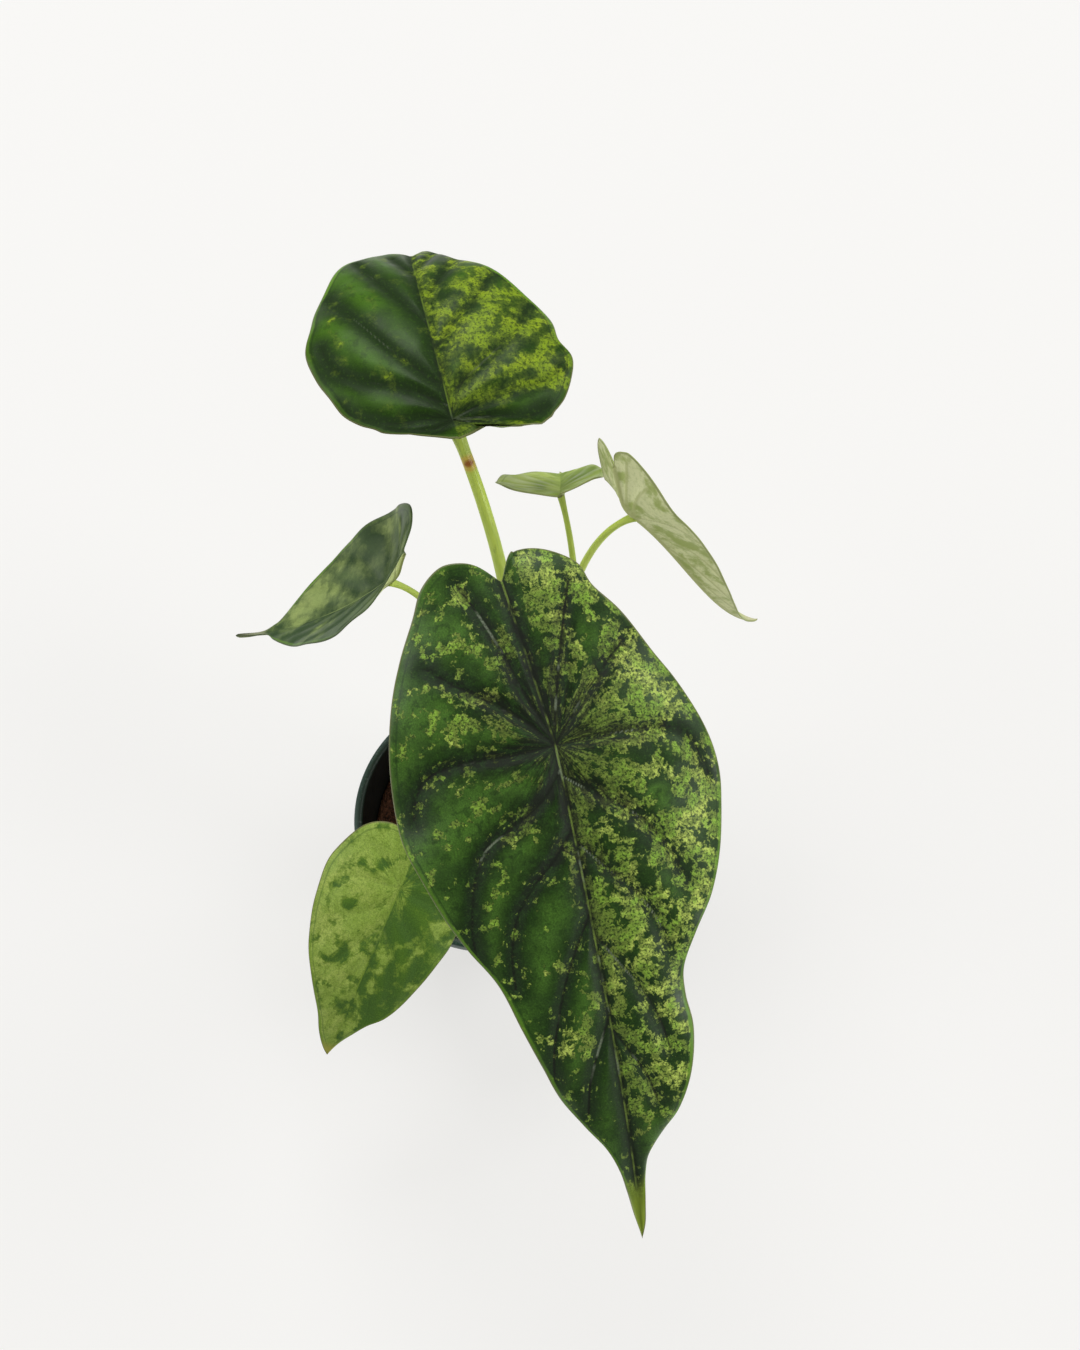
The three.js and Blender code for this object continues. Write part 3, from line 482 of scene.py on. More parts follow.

# %% [markdown]
# ## Where the lime marbling lies
# The variegation comes in two layers. Its coarse layout is different on every leaf and follows the two
# halves: one half of the front blade is nearly plain, the other is mottled all over. That layout is given
# as a few soft patches on each leaf. The fine jagged mosaic inside them is left to noise in the
# material, later on.

# %% Lay out the marbling
# Each patch: x, y, radius across, radius along (mm), and how much lime it adds or takes away.
MARBLING = {
    "front": dict(left=0.58, right=0.10, smoke=1.2, reach=32, patches=[
        (1, -5, 9, 9, -0.22), (-1, -28, 4, 14, -0.22), (-22, -6, 12, 14, 0.10),
        (-17, 14, 8, 5, 0.20), (-40, 33, 7, 12, 0.28), (-33, 17, 6, 5, 0.18), (-20, -10, 10, 10, 0.15),
        (-12, -42, 8, 9, 0.18), (-8, -53, 12, 6, 0.26), (-12, 53, 6, 9, 0.25), (-11, 100, 7, 8, 0.22),
        (-28, 20, 7, 4, -0.35), (-37, 4, 7, 5, -0.38), (-16, -28, 3, 9, -0.45), (-27, 44, 5, 7, -0.22),
        (-4, 98, 5, 8, -0.35), (-5, 122, 12, 10, -0.45), (-17, 88, 3, 8, -0.25), (-9, 40, 5, 7, -0.14),
        (-36, -14, 5, 9, 0.18), (-24, -22, 6, 8, 0.14), (-12, 76, 9, 8, 0.12), (0, 18, 5, 20, 0.12),
        (24, -13, 9, 6, 0.44), (25, -35, 6, 4, 0.40), (27, -46, 4, 4, 0.38), (36, -8, 3, 5, 0.35),
        (12, -26, 9, 16, 0.30), (18, -50, 9, 6, 0.28), (29, 5, 4, 2.5, 0.45), (26, 15, 7, 6, 0.22),
        (27, 28, 5, 3, 0.26), (11, -6, 12, 11, 0.24), (11, 19, 9, 7, 0.26), (8, 31, 5, 6, 0.22),
        (12, 85, 7, 8, 0.40), (14, 102, 4, 4, 0.50), (4, 72, 3, 8, 0.20), (3, 45, 2, 12, 0.20),
        (14, 55, 10, 14, -0.12), (36, 30, 8, 22, -0.15), (8, 120, 8, 8, -0.05),
    ]),
    "back": dict(left=-0.04, right=0.60, smoke=0.5, reach=18, patches=[
        (-33, 45, 4, 5, 0.36), (-36, 28, 3, 4, 0.34), (-31, 30, 3, 3, 0.24), (-20, 20, 3, 2, 0.20),
        (26, -1, 22, 5.5, -0.75), (12, 32, 9, 8, 0.15), (30, 30, 9, 10, 0.12), (10, 6, 8, 3, 0.22),
        (6, 15, 5, 4, -0.42), (22, 22, 4, 4, -0.30), (12, 64, 9, 8, -0.28), (24, 52, 5, 6, -0.24),
        (38, 9, 4, 3, 0.45), (36, 42, 6, 8, -0.20), (17, 42, 3, 3, -0.25), (-3, 40, 3, 30, 0.10),
    ]),
    "left": dict(left=0.24, right=0.36, smoke=0.1, reach=10, patches=[
        (9, 48, 9, 7, 0.38), (12, 38, 9, 7, 0.28), (24, 29, 5, 5, 0.32), (6, 20, 4, 12, -0.15),
        (24, 16, 8, 9, -0.22), (27, 3, 4, 3, 0.30), (-6, 43, 6, 5, -0.20), (-10, 30, 5, 5, 0.25),
        (-14, 20, 8, 4, -0.18), (0, 8, 9, 6, -0.10), (-8, 54, 4, 4, 0.25), (13, 14, 3, 8, 0.15),
    ]),
    "far": dict(left=0.66, right=0.5, smoke=0.0, reach=8, patches=[
        (9, 18, 6, 10, -0.45), (-7, 2, 2, 12, -0.30), (0, 40, 4, 9, -0.2), (-14, 4, 4, 12, 0.2),
    ]),
    "right": dict(left=0.58, right=0.60, smoke=0.0, reach=8, patches=[
        (-9, 18, 4, 5, -0.3), (-11, 34, 3, 4, -0.2), (-13, -2, 3, 4, -0.2), (10, 20, 6, 8, -0.25),
        (14, 5, 4, 6, 0.2), (6, 45, 4, 8, 0.15), (9, -12, 5, 4, 0.15),
    ]),
    "low": dict(left=0.42, right=0.80, smoke=0.0, reach=9, patches=[
        (14.5, 12, 2.2, 2.0, -0.85), (9, -6, 3, 2, -0.5), (16, -4, 1.6, 1.6, -0.42),
        (22, 15, 1.6, 2.2, -0.45), (11, 28, 6, 5, -0.28), (4, 47, 3, 4, -0.30),
        (9, 53, 3, 4, -0.30), (-7, 14, 6, 5, -0.55),
        (-8, 2, 5, 5, -0.42), (-10, 33, 4, 6, -0.40), (-15, 26, 6, 5, -0.22), (-9, 46, 6, 5, -0.30),
        (-18, 8, 5, 4, 0.30), (-14, 18, 4, 3, 0.30), (-1, 33, 3, 6, -0.3), (0, 64, 9, 9, 0.25),
        (-12, 30, 2, 5, 0.4), (-5, 27, 2, 6, 0.35), (-3, 3, 1.5, 5, 0.3),
    ]),
}
MIDRIB_BLEND = 1.4  # width of the change from one half to the other, mm
VEIN_VEIL = 2.4  # reach of the veil beside a vein, mm
VEIN_VEIL_SHARE = 0.62
HUB_VEIL = 4.0  # reach of the veil beside a vein near the joint, mm
VEIL_FADE = 60.0  # the veil along the veins fades over this way from the joint, mm
VEIL_LEAST = 0.35  # share of the veil that is left where it is weakest


def lime_layout(marbling, x, y):
    """How likely lime is at each flat point, from 0 for none to 1 for all."""
    right_share = smoothstep((x + MIDRIB_BLEND / 2) / MIDRIB_BLEND)
    lime = marbling["left"] + (marbling["right"] - marbling["left"]) * right_share
    for px, py, across, along, amount in marbling["patches"]:
        lime = lime + amount * np.exp(-(((x - px) / across) ** 2) - ((y - py) / along) ** 2)
    return lime


def faded(value):
    return VEIL_LEAST + (1.0 - VEIL_LEAST) * value


def smoke_layout(marbling, x, y, nearest):
    """Charcoal veil: strongest where the veins meet, and in a narrow band along every main vein."""
    hub = np.exp(-((np.hypot(x, y * 0.8) / marbling["reach"]) ** 1.5))
    along_veins = np.exp(-nearest / VEIN_VEIL) * faded(np.exp(-np.hypot(x, y) / VEIL_FADE))
    veil = hub * faded(np.exp(-nearest / HUB_VEIL)) + VEIN_VEIL_SHARE * along_veins
    return marbling["smoke"] * np.clip(veil, 0.0, 1.0)


print("patches laid out:", sum(len(m["patches"]) for m in MARBLING.values()))

# %% [markdown]
# ## A small language for node trees
# Blender's shader nodes are verbose to make from Python. The class below adds one node per call, wires what
# it is given and hands back the socket that comes out, so that a material reads like a short recipe. Groups
# made with it have named inputs, and each leaf places the same group with its own values.

# %% Make the recipe helper
class Recipe:
    """Fills one node tree; each method adds a node and returns the socket that comes out of it."""

    def __init__(self, tree):
        self.tree = tree

    def node(self, kind, inputs, **settings):
        made = self.tree.nodes.new("ShaderNode" + kind)
        for name, value in settings.items():
            setattr(made, name, value)
        for key, value in inputs.items():
            if isinstance(value, bpy.types.NodeSocket):
                self.tree.links.new(value, made.inputs[key])
            elif value is not None:
                made.inputs[key].default_value = value
        return made

    def wire(self, node, **sockets):
        """Feed a node's inputs by name, with _ for a space."""
        for label, socket in sockets.items():
            self.tree.links.new(socket, node.inputs[label.replace("_", " ")])

    def math(self, operation, *values, clamp=False):
        return self.node("Math", dict(enumerate(values)), operation=operation, use_clamp=clamp).outputs[0]

    def times(self, first, second, clamp=False):
        return self.math("MULTIPLY", first, second, clamp=clamp)

    def plus(self, first, second):
        return self.math("ADD", first, second)

    def minus(self, first, second):
        return self.math("SUBTRACT", first, second)

    def swing(self, value, weight):
        """A noise about 0.5 as a push up or down about 0."""
        return self.times(self.minus(value, 0.5), weight)

    def shift(self, vector, by):
        return self.node("VectorMath", {0: vector, 1: by}, operation="ADD").outputs[0]

    def stretch(self, vector, by):
        return self.node("VectorMath", {0: vector, 1: by}, operation="MULTIPLY").outputs[0]

    def resize(self, vector, factor):
        return self.node("VectorMath", {0: vector, "Scale": factor}, operation="SCALE").outputs[0]

    def length(self, vector):
        return self.node("VectorMath", {0: vector}, operation="LENGTH").outputs["Value"]

    def mix(self, share, first, second):
        return self.node("Mix", {0: share, 6: first, 7: second}, data_type="RGBA").outputs[2]

    def noise(self, where, size, detail=3.0, rough=0.55, out="Fac", flat=True):
        inputs = {"Vector": where, "Scale": 1.0 / size, "Detail": detail, "Roughness": rough}
        return self.node("TexNoise", inputs, noise_dimensions="2D" if flat else "3D").outputs[out]

    def cells(self, where, size, out="Color", feature="F1"):
        inputs = {"Vector": where, "Scale": 1.0 / size}
        return self.node("TexVoronoi", inputs, feature=feature, voronoi_dimensions="2D").outputs[out]

    def band(self, value, low, high, start=0.0, end=1.0):
        inputs = {0: value, 1: low, 2: high, 3: start, 4: end}
        return self.node("MapRange", inputs, interpolation_type="SMOOTHSTEP").outputs[0]

    def blots(self, where, size, low, high, start=0.0, end=1.0, detail=3.0, rough=0.55, flat=True):
        """Soft blots: a noise whose values from low to high become start to end."""
        return self.band(self.noise(where, size, detail, rough, flat=flat), low, high, start, end)

    def attribute(self, name, out="Fac"):
        return self.node("Attribute", {}, attribute_name=name).outputs[out]

    def part(self, vector, axis):
        return self.node("SeparateXYZ", {0: vector}).outputs[axis]

    def join(self, x, y, z=0.0):
        return self.node("CombineXYZ", {0: x, 1: y, 2: z}).outputs[0]

    def place_mm(self):
        """Where a point lies on its own piece, in millimetres."""
        return self.stretch(self.node("TexCoord", {}).outputs["Object"], (1000.0, 1000.0, 1000.0))

    def bump(self, height, strength, distance):
        inputs = {"Strength": strength, "Distance": distance, "Height": height}
        return self.node("Bump", inputs).outputs["Normal"]


def screen_tone(red, green, blue):
    """Linear colour of a tone read off a screen, 0 to 255."""
    return tuple((c / 255.0) ** 2.2 for c in (red, green, blue)) + (1.0,)


def start_group(name, inputs, outputs):
    """A new shader group with named sockets; gives it, its recipe, its inputs by name and its exit."""
    tree = bpy.data.node_groups.new(name, "ShaderNodeTree")
    for label, value in inputs.items():
        kind = "Color" if isinstance(value, tuple) else "Vector" if value is None else "Float"
        socket = tree.interface.new_socket(name=label, in_out="INPUT", socket_type="NodeSocket" + kind)
        if value is not None:
            socket.default_value = value
    for label, kind in outputs.items():
        tree.interface.new_socket(name=label, in_out="OUTPUT", socket_type="NodeSocket" + kind)
    entry = tree.nodes.new("NodeGroupInput")
    leave = tree.nodes.new("NodeGroupOutput")
    return tree, Recipe(tree), entry.outputs, leave


def start_material(name, **constants):
    """A material whose shader keeps its constant values on its own sockets."""
    material = bpy.data.materials.new(name)
    material.use_nodes = True
    recipe = Recipe(material.node_tree)
    shader = material.node_tree.nodes["Principled BSDF"]
    for label, value in constants.items():
        shader.inputs[label.replace("_", " ")].default_value = value
    return material, recipe, shader


def place_group(recipe, tree, inputs):
    made = recipe.node("Group", {}, node_tree=tree)
    for label, value in inputs.items():
        if isinstance(value, bpy.types.NodeSocket):
            recipe.tree.links.new(value, made.inputs[label])
        else:
            made.inputs[label].default_value = value
    return made.outputs


print("recipe helper ready")

# %% [markdown]
# ## The upper face of a blade
# On the real leaf, lime cells and dark cells sit side by side with no blending, so the border between them
# is a ragged mosaic of cells about a millimetre wide. An image could paint it, but a group of noises stays
# sharp at any size, and each leaf can place it with its own values. The group starts with the places at
# which its noises are read: the flat leaf in millimetres, and the same place pushed about a little, which
# makes the borders jagged.

# %% Open the marbled face group
SMOKE = screen_tone(22, 26, 18)  # the charcoal veil
GLINT = screen_tone(132, 144, 120)  # painted highlight: a pale glint along a vein
JAG_SIZE = 1.1
JAG_REACH = 1.3

face_inputs = {
    "Leaf": None, "Lime": 0.5, "Smoke": 0.0, "Vein": 5.0, "Midrib": 5.0, "Rim": 10.0, "Tail": 0.0,
    "Seed": 0.0, "Pattern": 1.0, "Lace": 1.0, "Softness": 0.02, "Flecks": 1.0, "Lines": 1.0, "Grain": 1.0,
    "Swing": 1.0,
    "Dark": screen_tone(34, 56, 24), "Swell": screen_tone(74, 110, 42), "Bright": screen_tone(190, 210, 98),
    "Olive": screen_tone(104, 124, 54), "Hem": screen_tone(96, 136, 44), "Edge": screen_tone(108, 112, 70),
    "Drip": screen_tone(136, 158, 44),
}
marbled_face, face, given, face_exit = start_group(
    "marbled face", face_inputs, {"Color": "Color", "Roughness": "Float", "Height": "Float"}
)
here = face.shift(face.resize(given["Leaf"], given["Pattern"]), face.join(given["Seed"], given["Seed"]))
jags = face.shift(face.noise(here, JAG_SIZE, 2.0, out="Color"), (-0.5, -0.5, 0.0))
ragged = face.shift(here, face.stretch(jags, (JAG_REACH, JAG_REACH, 0.0)))
flat_leaf = face.stretch(given["Leaf"], (1.0, 1.0, 0.0))
radius = face.length(flat_leaf)
near_hub = face.band(radius, 40.0, 6.0)
nearest_vein = face.math("MINIMUM", given["Vein"], given["Midrib"])
print("the group takes", len(face_inputs), "values from each leaf")

# %% [markdown]
# ## Where lime ends and dark begins
# The layout from above says how likely lime is. Swings of several sizes push it up and down, a random value
# per cell adds the mosaic, and what ends above one half is lime. Close to the veins a noise is stretched
# along them, and another one fans out of the joint like spokes, which makes the streaks of the real leaf.
# Near the joint the large swings calm down, so that the streaks show.

# %% Sum the swings
SPOKE_ROUND, SPOKE_ALONG = 9.0, 0.13  # larger means more streaks round the joint, and shorter ones
FAN_ACROSS, FAN_ALONG = 1.3, 0.14  # the same beside a vein: across it and away from the joint
fan = face.join(face.times(nearest_vein, FAN_ACROSS), face.times(radius, FAN_ALONG), given["Seed"])
heading = face.node("VectorMath", {0: flat_leaf}, operation="NORMALIZE").outputs[0]
spoke_place = face.join(given["Seed"], 0.0, face.times(radius, SPOKE_ALONG))
spokes = face.shift(face.resize(heading, SPOKE_ROUND), spoke_place)
streaky = face.times(face.band(nearest_vein, 7.0, 1.0), given["Lace"])
calm = face.times(face.band(radius, 26.0, 5.0, 1.0, 0.45), given["Swing"])
# Each swing has its noise, its weight, and the mask of where it acts.
swings = (
    (face.noise(ragged, 11.0, 3.0, 0.6), 1.0, calm),
    (face.noise(ragged, 5.0, 3.0, 0.55), 2.9, calm),
    (face.noise(ragged, 1.7, 2.0, 0.55), 0.85, given["Lace"]),
    (face.part(face.cells(ragged, 0.9), 0), 0.26, given["Lace"]),
    (face.noise(fan, 1.0, 4.0, 0.65, flat=False), 1.6, streaky),
    (face.noise(spokes, 1.0, 5.0, 0.7, flat=False), 3.2, face.times(near_hub, given["Lace"])),
)
field = given["Lime"]
for source, weight, where in swings:
    field = face.plus(field, face.times(face.swing(source, weight), where))
lime = face.band(field, face.minus(0.5, given["Softness"]), face.plus(0.5, given["Softness"]))
print(len(swings), "swings summed")

# %% [markdown]
# ## Dark cells and lime cells
# The dark cells are not one green: the swellings between the veins are painted lighter and the strips
# by the veins darker, partly as the leaf's own tone and partly as painted light and shade on the quilting,
# with soft darker blots at random over them.
# The lime cells run from fresh green to yellow green, turn olive near the midrib and the joint, and hold
# small dark flecks. Each of these is a blot of noise that mixes one tone into the next.

# %% Tone the dark and the lime cells
# painted light and shade on the quilting, partly the leaf's own tone: Swell away from the veins, Dark beside
# them
swell = face.times(face.band(nearest_vein, 1.0, 8.0), face.blots(here, 12.0, 0.3, 0.62, 0.3))
swell = face.times(swell, face.band(given["Lime"], 0.4, 0.6, 1.0, 0.25))
plain = face.mix(swell, given["Dark"], given["Swell"])
plain = face.mix(face.blots(here, 0.9, 0.55, 0.8, 0.0, 0.35, detail=2.0), plain, given["Swell"])
shades = face.blots(here, 3.0, 0.5, 0.66, 0.0, 0.6, detail=5.0, rough=0.65)
plain = face.mix(face.times(shades, given["Swing"]), plain, given["Dark"])

fresh = face.stretch(given["Bright"], (0.5, 0.7, 0.4))
fresh_swing = face.times(face.blots(here, 10.0, 0.44, 0.6, rough=0.6), given["Lace"])
bright = face.mix(fresh_swing, given["Bright"], fresh)
spotted = face.mix(face.band(field, 0.5, 0.75), given["Olive"], bright)
olives = face.blots(here, 2.4, 0.42, 0.6, 0.0, 0.9, detail=5.0, rough=0.7)
spotted = face.mix(face.times(olives, given["Swing"]), spotted, given["Olive"])
hub_dull = face.times(face.band(radius, 30.0, 9.0, 0.0, 0.85), given["Lace"])
spotted = face.mix(hub_dull, spotted, given["Olive"])
inner = face.blots(here, 6.0, 0.4, 0.58, 0.25, 1.0, detail=4.0, rough=0.65)
inner = face.times(face.band(given["Midrib"], 17.0, 5.0), inner)
spotted = face.mix(face.times(face.times(inner, given["Lace"]), 0.8), spotted, given["Olive"])
flecks = face.times(face.blots(here, 0.8, 0.53, 0.6, 0.0, 0.8, rough=0.6), given["Flecks"])
spotted = face.mix(flecks, spotted, given["Dark"])
colour = face.mix(lime, plain, spotted)
print("two kinds of cells toned")

# %% [markdown]
# ## Veil, veins and midrib
# A charcoal veil darkens both kinds of cells round the joint and along the veins. Its edge is broken up by
# the same streaks. Every main vein is a thin dark line, its own tone deepened by painted shade in its
# crease, with a painted pale highlight along it in places. The midrib has dark flanks, its own tone
# deepened by painted shade in its groove, and a green line along its middle. A fine grain goes over all of
# it.

# %% Lay the veil and draw the veins
veil_grain = face.noise(ragged, 2.6, 5.0, 0.68)
streaks = face.minus(face.noise(spokes, 0.8, 5.0, 0.7, flat=False), veil_grain)
veil_noise = face.plus(veil_grain, face.times(streaks, near_hub))
veil = face.times(given["Smoke"], face.band(veil_noise, 0.4, 0.58, 0.25, 1.2), clamp=True)
colour = face.mix(face.times(veil, 0.85), colour, SMOKE)
# painted shade in each vein's crease, on top of the vein's own dark tone
vein_line = face.times(face.band(given["Vein"], 0.55, 0.15, 0.0, 0.8), given["Lines"])
colour = face.mix(vein_line, colour, SMOKE)
# painted shade on the flanks of the midrib's groove, on top of its own dark tone
midrib_flank = face.times(face.band(given["Midrib"], 1.6, 0.5, 0.0, 0.55), given["Lines"])
colour = face.mix(midrib_flank, colour, SMOKE)
# painted highlight: pale glints along the veins and the midrib, in spots away from the rim
wear_and_glint_mask = face.times(face.blots(here, 15.0, 0.52, 0.62, 0.0, 0.6), face.band(given["Rim"], 12.0, 19.0))
glint = face.times(face.times(face.band(nearest_vein, 0.55, 0.1), wear_and_glint_mask), given["Lines"])
colour = face.mix(glint, colour, GLINT)
midrib_glow = face.blots(here, 9.0, 0.4, 0.6, 0.0, 0.8, detail=2.0)
midrib_glow = face.times(face.band(given["Midrib"], 0.45, 0.15), midrib_glow)
colour = face.mix(midrib_glow, colour, given["Olive"])
grain = face.blots(given["Leaf"], 0.5, 0.3, 0.7, 0.76, 1.24, rough=0.7)
grain = face.times(face.minus(grain, 1.0), given["Grain"])
colour = face.resize(colour, face.plus(grain, 1.0))
print("veil, veins and midrib drawn")

# %% [markdown]
# ## Hem, drip tip and relief
# A thin lime hem runs along the margin, stronger towards the tip, with a dark line inside it and a dull
# edge outside. The drip tip is plain green. The relief is fine: the veins sink and a noise roughens the
# wax. Lime cells and the strips beside the veins are duller than the rest.

# %% Finish the margin, the gloss and the relief
hem_swing = face.blots(here, 26.0, 0.35, 0.62, 0.5, 0.95, detail=2.0)
hem_reach = face.plus(0.7, face.times(face.noise(here, 5.0, 3.0), 1.2))
hem = face.times(face.band(face.minus(given["Rim"], hem_reach), 0.4, -0.3), hem_swing)
hem_ahead = face.band(face.part(given["Leaf"], 1), -5.0, 60.0, 0.15, 1.0)
colour = face.mix(face.times(hem, hem_ahead), colour, given["Hem"])
inner_rim = face.band(face.math("ABSOLUTE", face.minus(given["Rim"], 2.2)), 0.5, 0.1, 0.0, 0.5)
colour = face.mix(inner_rim, colour, given["Dark"])
colour = face.mix(given["Tail"], colour, given["Drip"])
colour = face.mix(face.band(given["Rim"], 0.4, 0.12, 0.0, 0.85), colour, given["Edge"])
groove = face.times(face.band(nearest_vein, 1.2, 0.0), face.times(given["Lines"], 2.5))
height = face.minus(face.noise(here, 2.6, 5.0, 0.6), groove)
dull = face.blots(here, 7.0, 0.3, 0.7, 0.32, 0.44, detail=4.0)
dull = face.plus(dull, face.times(lime, 0.08))
dull = face.plus(dull, face.band(nearest_vein, 3.5, 0.5, 0.0, 0.3))
face.wire(face_exit, Color=colour, Roughness=dull, Height=height)
print("marbled face:", len(marbled_face.nodes), "nodes")

# %% [markdown]
# ## The underside of a blade
# The underside is matt and paler. The mosaic of the upper face only shows through it as soft clouds, and
# the veins stand out as ribs, warm brown on the old leaves and green on the young ones.

# %% Build the underside group
under_inputs = {
    "Leaf": None, "Lime": 0.5, "Vein": 5.0, "Midrib": 5.0, "Rim": 10.0, "Seed": 0.0,
    "Pale": screen_tone(176, 186, 128), "Cloud": screen_tone(128, 146, 84), "Rib": screen_tone(120, 128, 70),
    "Edge": screen_tone(110, 116, 78),
}
pale_underside, under, given, under_exit = start_group(
    "pale underside", under_inputs, {"Color": "Color", "Roughness": "Float", "Height": "Float"}
)
here = under.shift(given["Leaf"], under.join(given["Seed"], given["Seed"]))
clouds = under.noise(here, 7.0, 4.0, 0.6)
field = under.plus(given["Lime"], under.swing(clouds, 1.8))
colour = under.mix(under.band(field, 0.3, 0.75), given["Cloud"], given["Pale"])
flecks = under.blots(here, 1.3, 0.45, 0.75, 0.0, 0.35, rough=0.6)
colour = under.mix(flecks, colour, given["Cloud"])
side_ribs = under.band(given["Vein"], 0.9, 0.3, 0.0, 0.7)
ribs = under.math("MAXIMUM", under.band(given["Midrib"], 1.5, 0.7), side_ribs)
colour = under.mix(ribs, colour, given["Rib"])
colour = under.mix(under.band(given["Rim"], 0.8, 0.3), colour, given["Edge"])
network = under.cells(here, 1.6, "Distance", "DISTANCE_TO_EDGE")
height = under.minus(under.times(under.noise(here, 2.2, 3.0), 0.8), under.band(network, 0.0, 0.2))
dull = under.band(clouds, 0.3, 0.7, 0.5, 0.62)
under.wire(under_exit, Color=colour, Roughness=dull, Height=height)
print("pale underside:", len(pale_underside.nodes), "nodes")

# %% [markdown]
# ## One pair of leaf finishes per leaf
# Each leaf places the two groups with its own colours. The front and back leaves are old: dark, waxy and
# bright marbled. The left one is a duller grey green. The three young ones are lime all over. Of these, the
# far one is seen almost edge on, and the right one turns its pale underside to the camera.

# %% Mix the leaf finishes
OLD_UNDER = dict(Pale=(128, 148, 88))
YOUNG_FACE = dict(
    Dark=(114, 138, 56), Swell=(128, 152, 62), Bright=(184, 202, 108), Olive=(164, 184, 92),
    Hem=(150, 170, 90), Edge=(150, 158, 104),
    Pattern=0.4, Lace=0.0, Softness=0.5, Flecks=0.0, Lines=0.0, Grain=0.2, Swing=0.35,
)
# Tones are as seen on a screen, 0 to 255. The single numbers steer the groups.
LEAF_TONES = {
    "front": dict(gloss=0.24, face={}, under=dict(OLD_UNDER, Cloud=(78, 98, 62), Rib=(112, 92, 66))),
    "back": dict(
        gloss=0.13, under=dict(OLD_UNDER, Cloud=(84, 104, 66), Rib=(116, 96, 66)),
        face=dict(
            Dark=(34, 54, 20), Swell=(68, 104, 28), Bright=(142, 164, 40), Olive=(92, 114, 38),
            Pattern=0.75, Lace=0.35, Softness=0.38, Lines=0.3, Flecks=0.8, Grain=0.5, Swing=0.8,
        ),
    ),
    "left": dict(
        gloss=0.13, under=dict(Pale=(204, 212, 150), Cloud=(176, 188, 120), Edge=(130, 140, 96)),
        face=dict(
            Dark=(56, 76, 46), Swell=(86, 108, 62), Bright=(148, 164, 98), Olive=(126, 144, 86),
            Edge=(84, 98, 66), Drip=(136, 140, 112),
            Pattern=0.6, Lace=0.1, Softness=0.4, Flecks=0.1, Lines=0.1, Grain=0.3, Swing=0.5,
        ),
    ),
    "far": dict(
        gloss=0.1, face=dict(YOUNG_FACE, Drip=(170, 186, 116)),
        under=dict(Pale=(196, 204, 148), Cloud=(164, 176, 114), Edge=(150, 158, 104)),
    ),
    "right": dict(
        gloss=0.1, face=dict(YOUNG_FACE, Drip=(190, 190, 150)),
        under=dict(Pale=(222, 226, 174), Cloud=(168, 182, 108), Rib=(186, 192, 132), Edge=(160, 164, 116)),
    ),
    "low": dict(
        gloss=0.16, under={},
        face=dict(
            Dark=(70, 100, 42), Swell=(92, 124, 44), Bright=(162, 180, 90), Olive=(116, 142, 54),
            Hem=(112, 140, 50), Edge=(100, 100, 58), Drip=(158, 158, 74),
            Pattern=0.85, Lace=0.4, Softness=0.24, Flecks=0.3, Lines=0.1, Grain=0.8, Swing=0.6,
        ),
    ),
}
UNDER_GLOSS = 0.15
SEED_STEP = 11.0  # moves each leaf to its own stretch of the noises
LEAF_BUMP = 0.00004


def leaf_finish(name, side):
    """The material of one face of one leaf; side is face or under."""
    upper = side == "face"
    gloss = LEAF_TONES[name]["gloss"] if upper else UNDER_GLOSS
    material, recipe, shader = start_material(f"{name} leaf {side}", Specular_IOR_Level=gloss)
    inputs = {"Leaf": recipe.attribute("leaf_mm", "Vector"), "Seed": SEED_STEP * list(LEAVES).index(name)}
    fields = {"Lime": "lime", "Vein": "vein_mm", "Midrib": "midrib_mm", "Rim": "rim_mm"}
    if upper:
        fields.update({"Smoke": "smoke", "Tail": "tail"})
    for label, field_name in fields.items():
        inputs[label] = recipe.attribute(field_name)
    for label, value in LEAF_TONES[name][side].items():
        inputs[label] = screen_tone(*value) if isinstance(value, tuple) else value
    made = place_group(recipe, marbled_face if upper else pale_underside, inputs)
    normal = recipe.bump(made["Height"], 1.0, LEAF_BUMP)
    recipe.wire(shader, Base_Color=made["Color"], Roughness=made["Roughness"], Normal=normal)
    return material


finishes = {(name, side): leaf_finish(name, side) for name in LEAVES for side in ("face", "under")}
print(len(finishes), "leaf finishes")

# %% [markdown]
# ## Making a blade
# A blade could be a plane with a thickness modifier, but then the margin would be a sharp step and the ribs
# below could not differ from the grooves above. So each blade is woven from rows that run from the midrib
# to the margin, from the notch round to the tip, once for the face and once for the underside, joined by a
# rounded rim. The distances and patches that the materials need are stored on its points.

# %% Weave the blades
BLADE_MIDDLE = 0.9  # thickness by the midrib, mm
BLADE_MARGIN = 0.55  # thickness at the margin
RIB_DEPTH = 1.15  # how far the midrib stands out below
RIB_HALF_WIDTH = 1.5
SIDE_RIB_DEPTH = 0.45
SIDE_RIB_HALF_WIDTH = 0.7
RIB_REACH = 0.45  # share of the way to the margin that the midrib's rib takes up
COLUMN_SPREAD = 1.2  # above 1, the columns stand closer by the midrib
NORMAL_STEP = 0.25  # how far apart the points lie that give the up direction, mm
TAIL_WIDTH, TAIL_FADE, TAIL_START = 9.0, 6.0, 0.6  # the drip tip: narrower than this, past this share


def margin_of(leaf, side, rows):
    """Evenly spaced flat points of one half's margin, from the notch to the tip."""
    half = leaf["right"] if side > 0 else leaf["left"]
    line = smooth_line(edge_of(leaf, side), 10)
    start = line[0, 1]
    near = np.clip(1.0 - line[:, 0] / (0.8 * half), 0.0, 1.0)
    slant = np.where(line[:, 1] < 0, leaf["sinus"] * np.minimum(line[:, 1] / start, 1.3) * near, 0.0)
    x = side * line[:, 0] + slant
    run = np.r_[0.0, np.cumsum(np.hypot(np.diff(x), np.diff(line[:, 1])))]
    even = np.linspace(0.0, run[-1], rows + 1)
    return np.stack([np.interp(even, run, x), np.interp(even, run, line[:, 1])], -1)


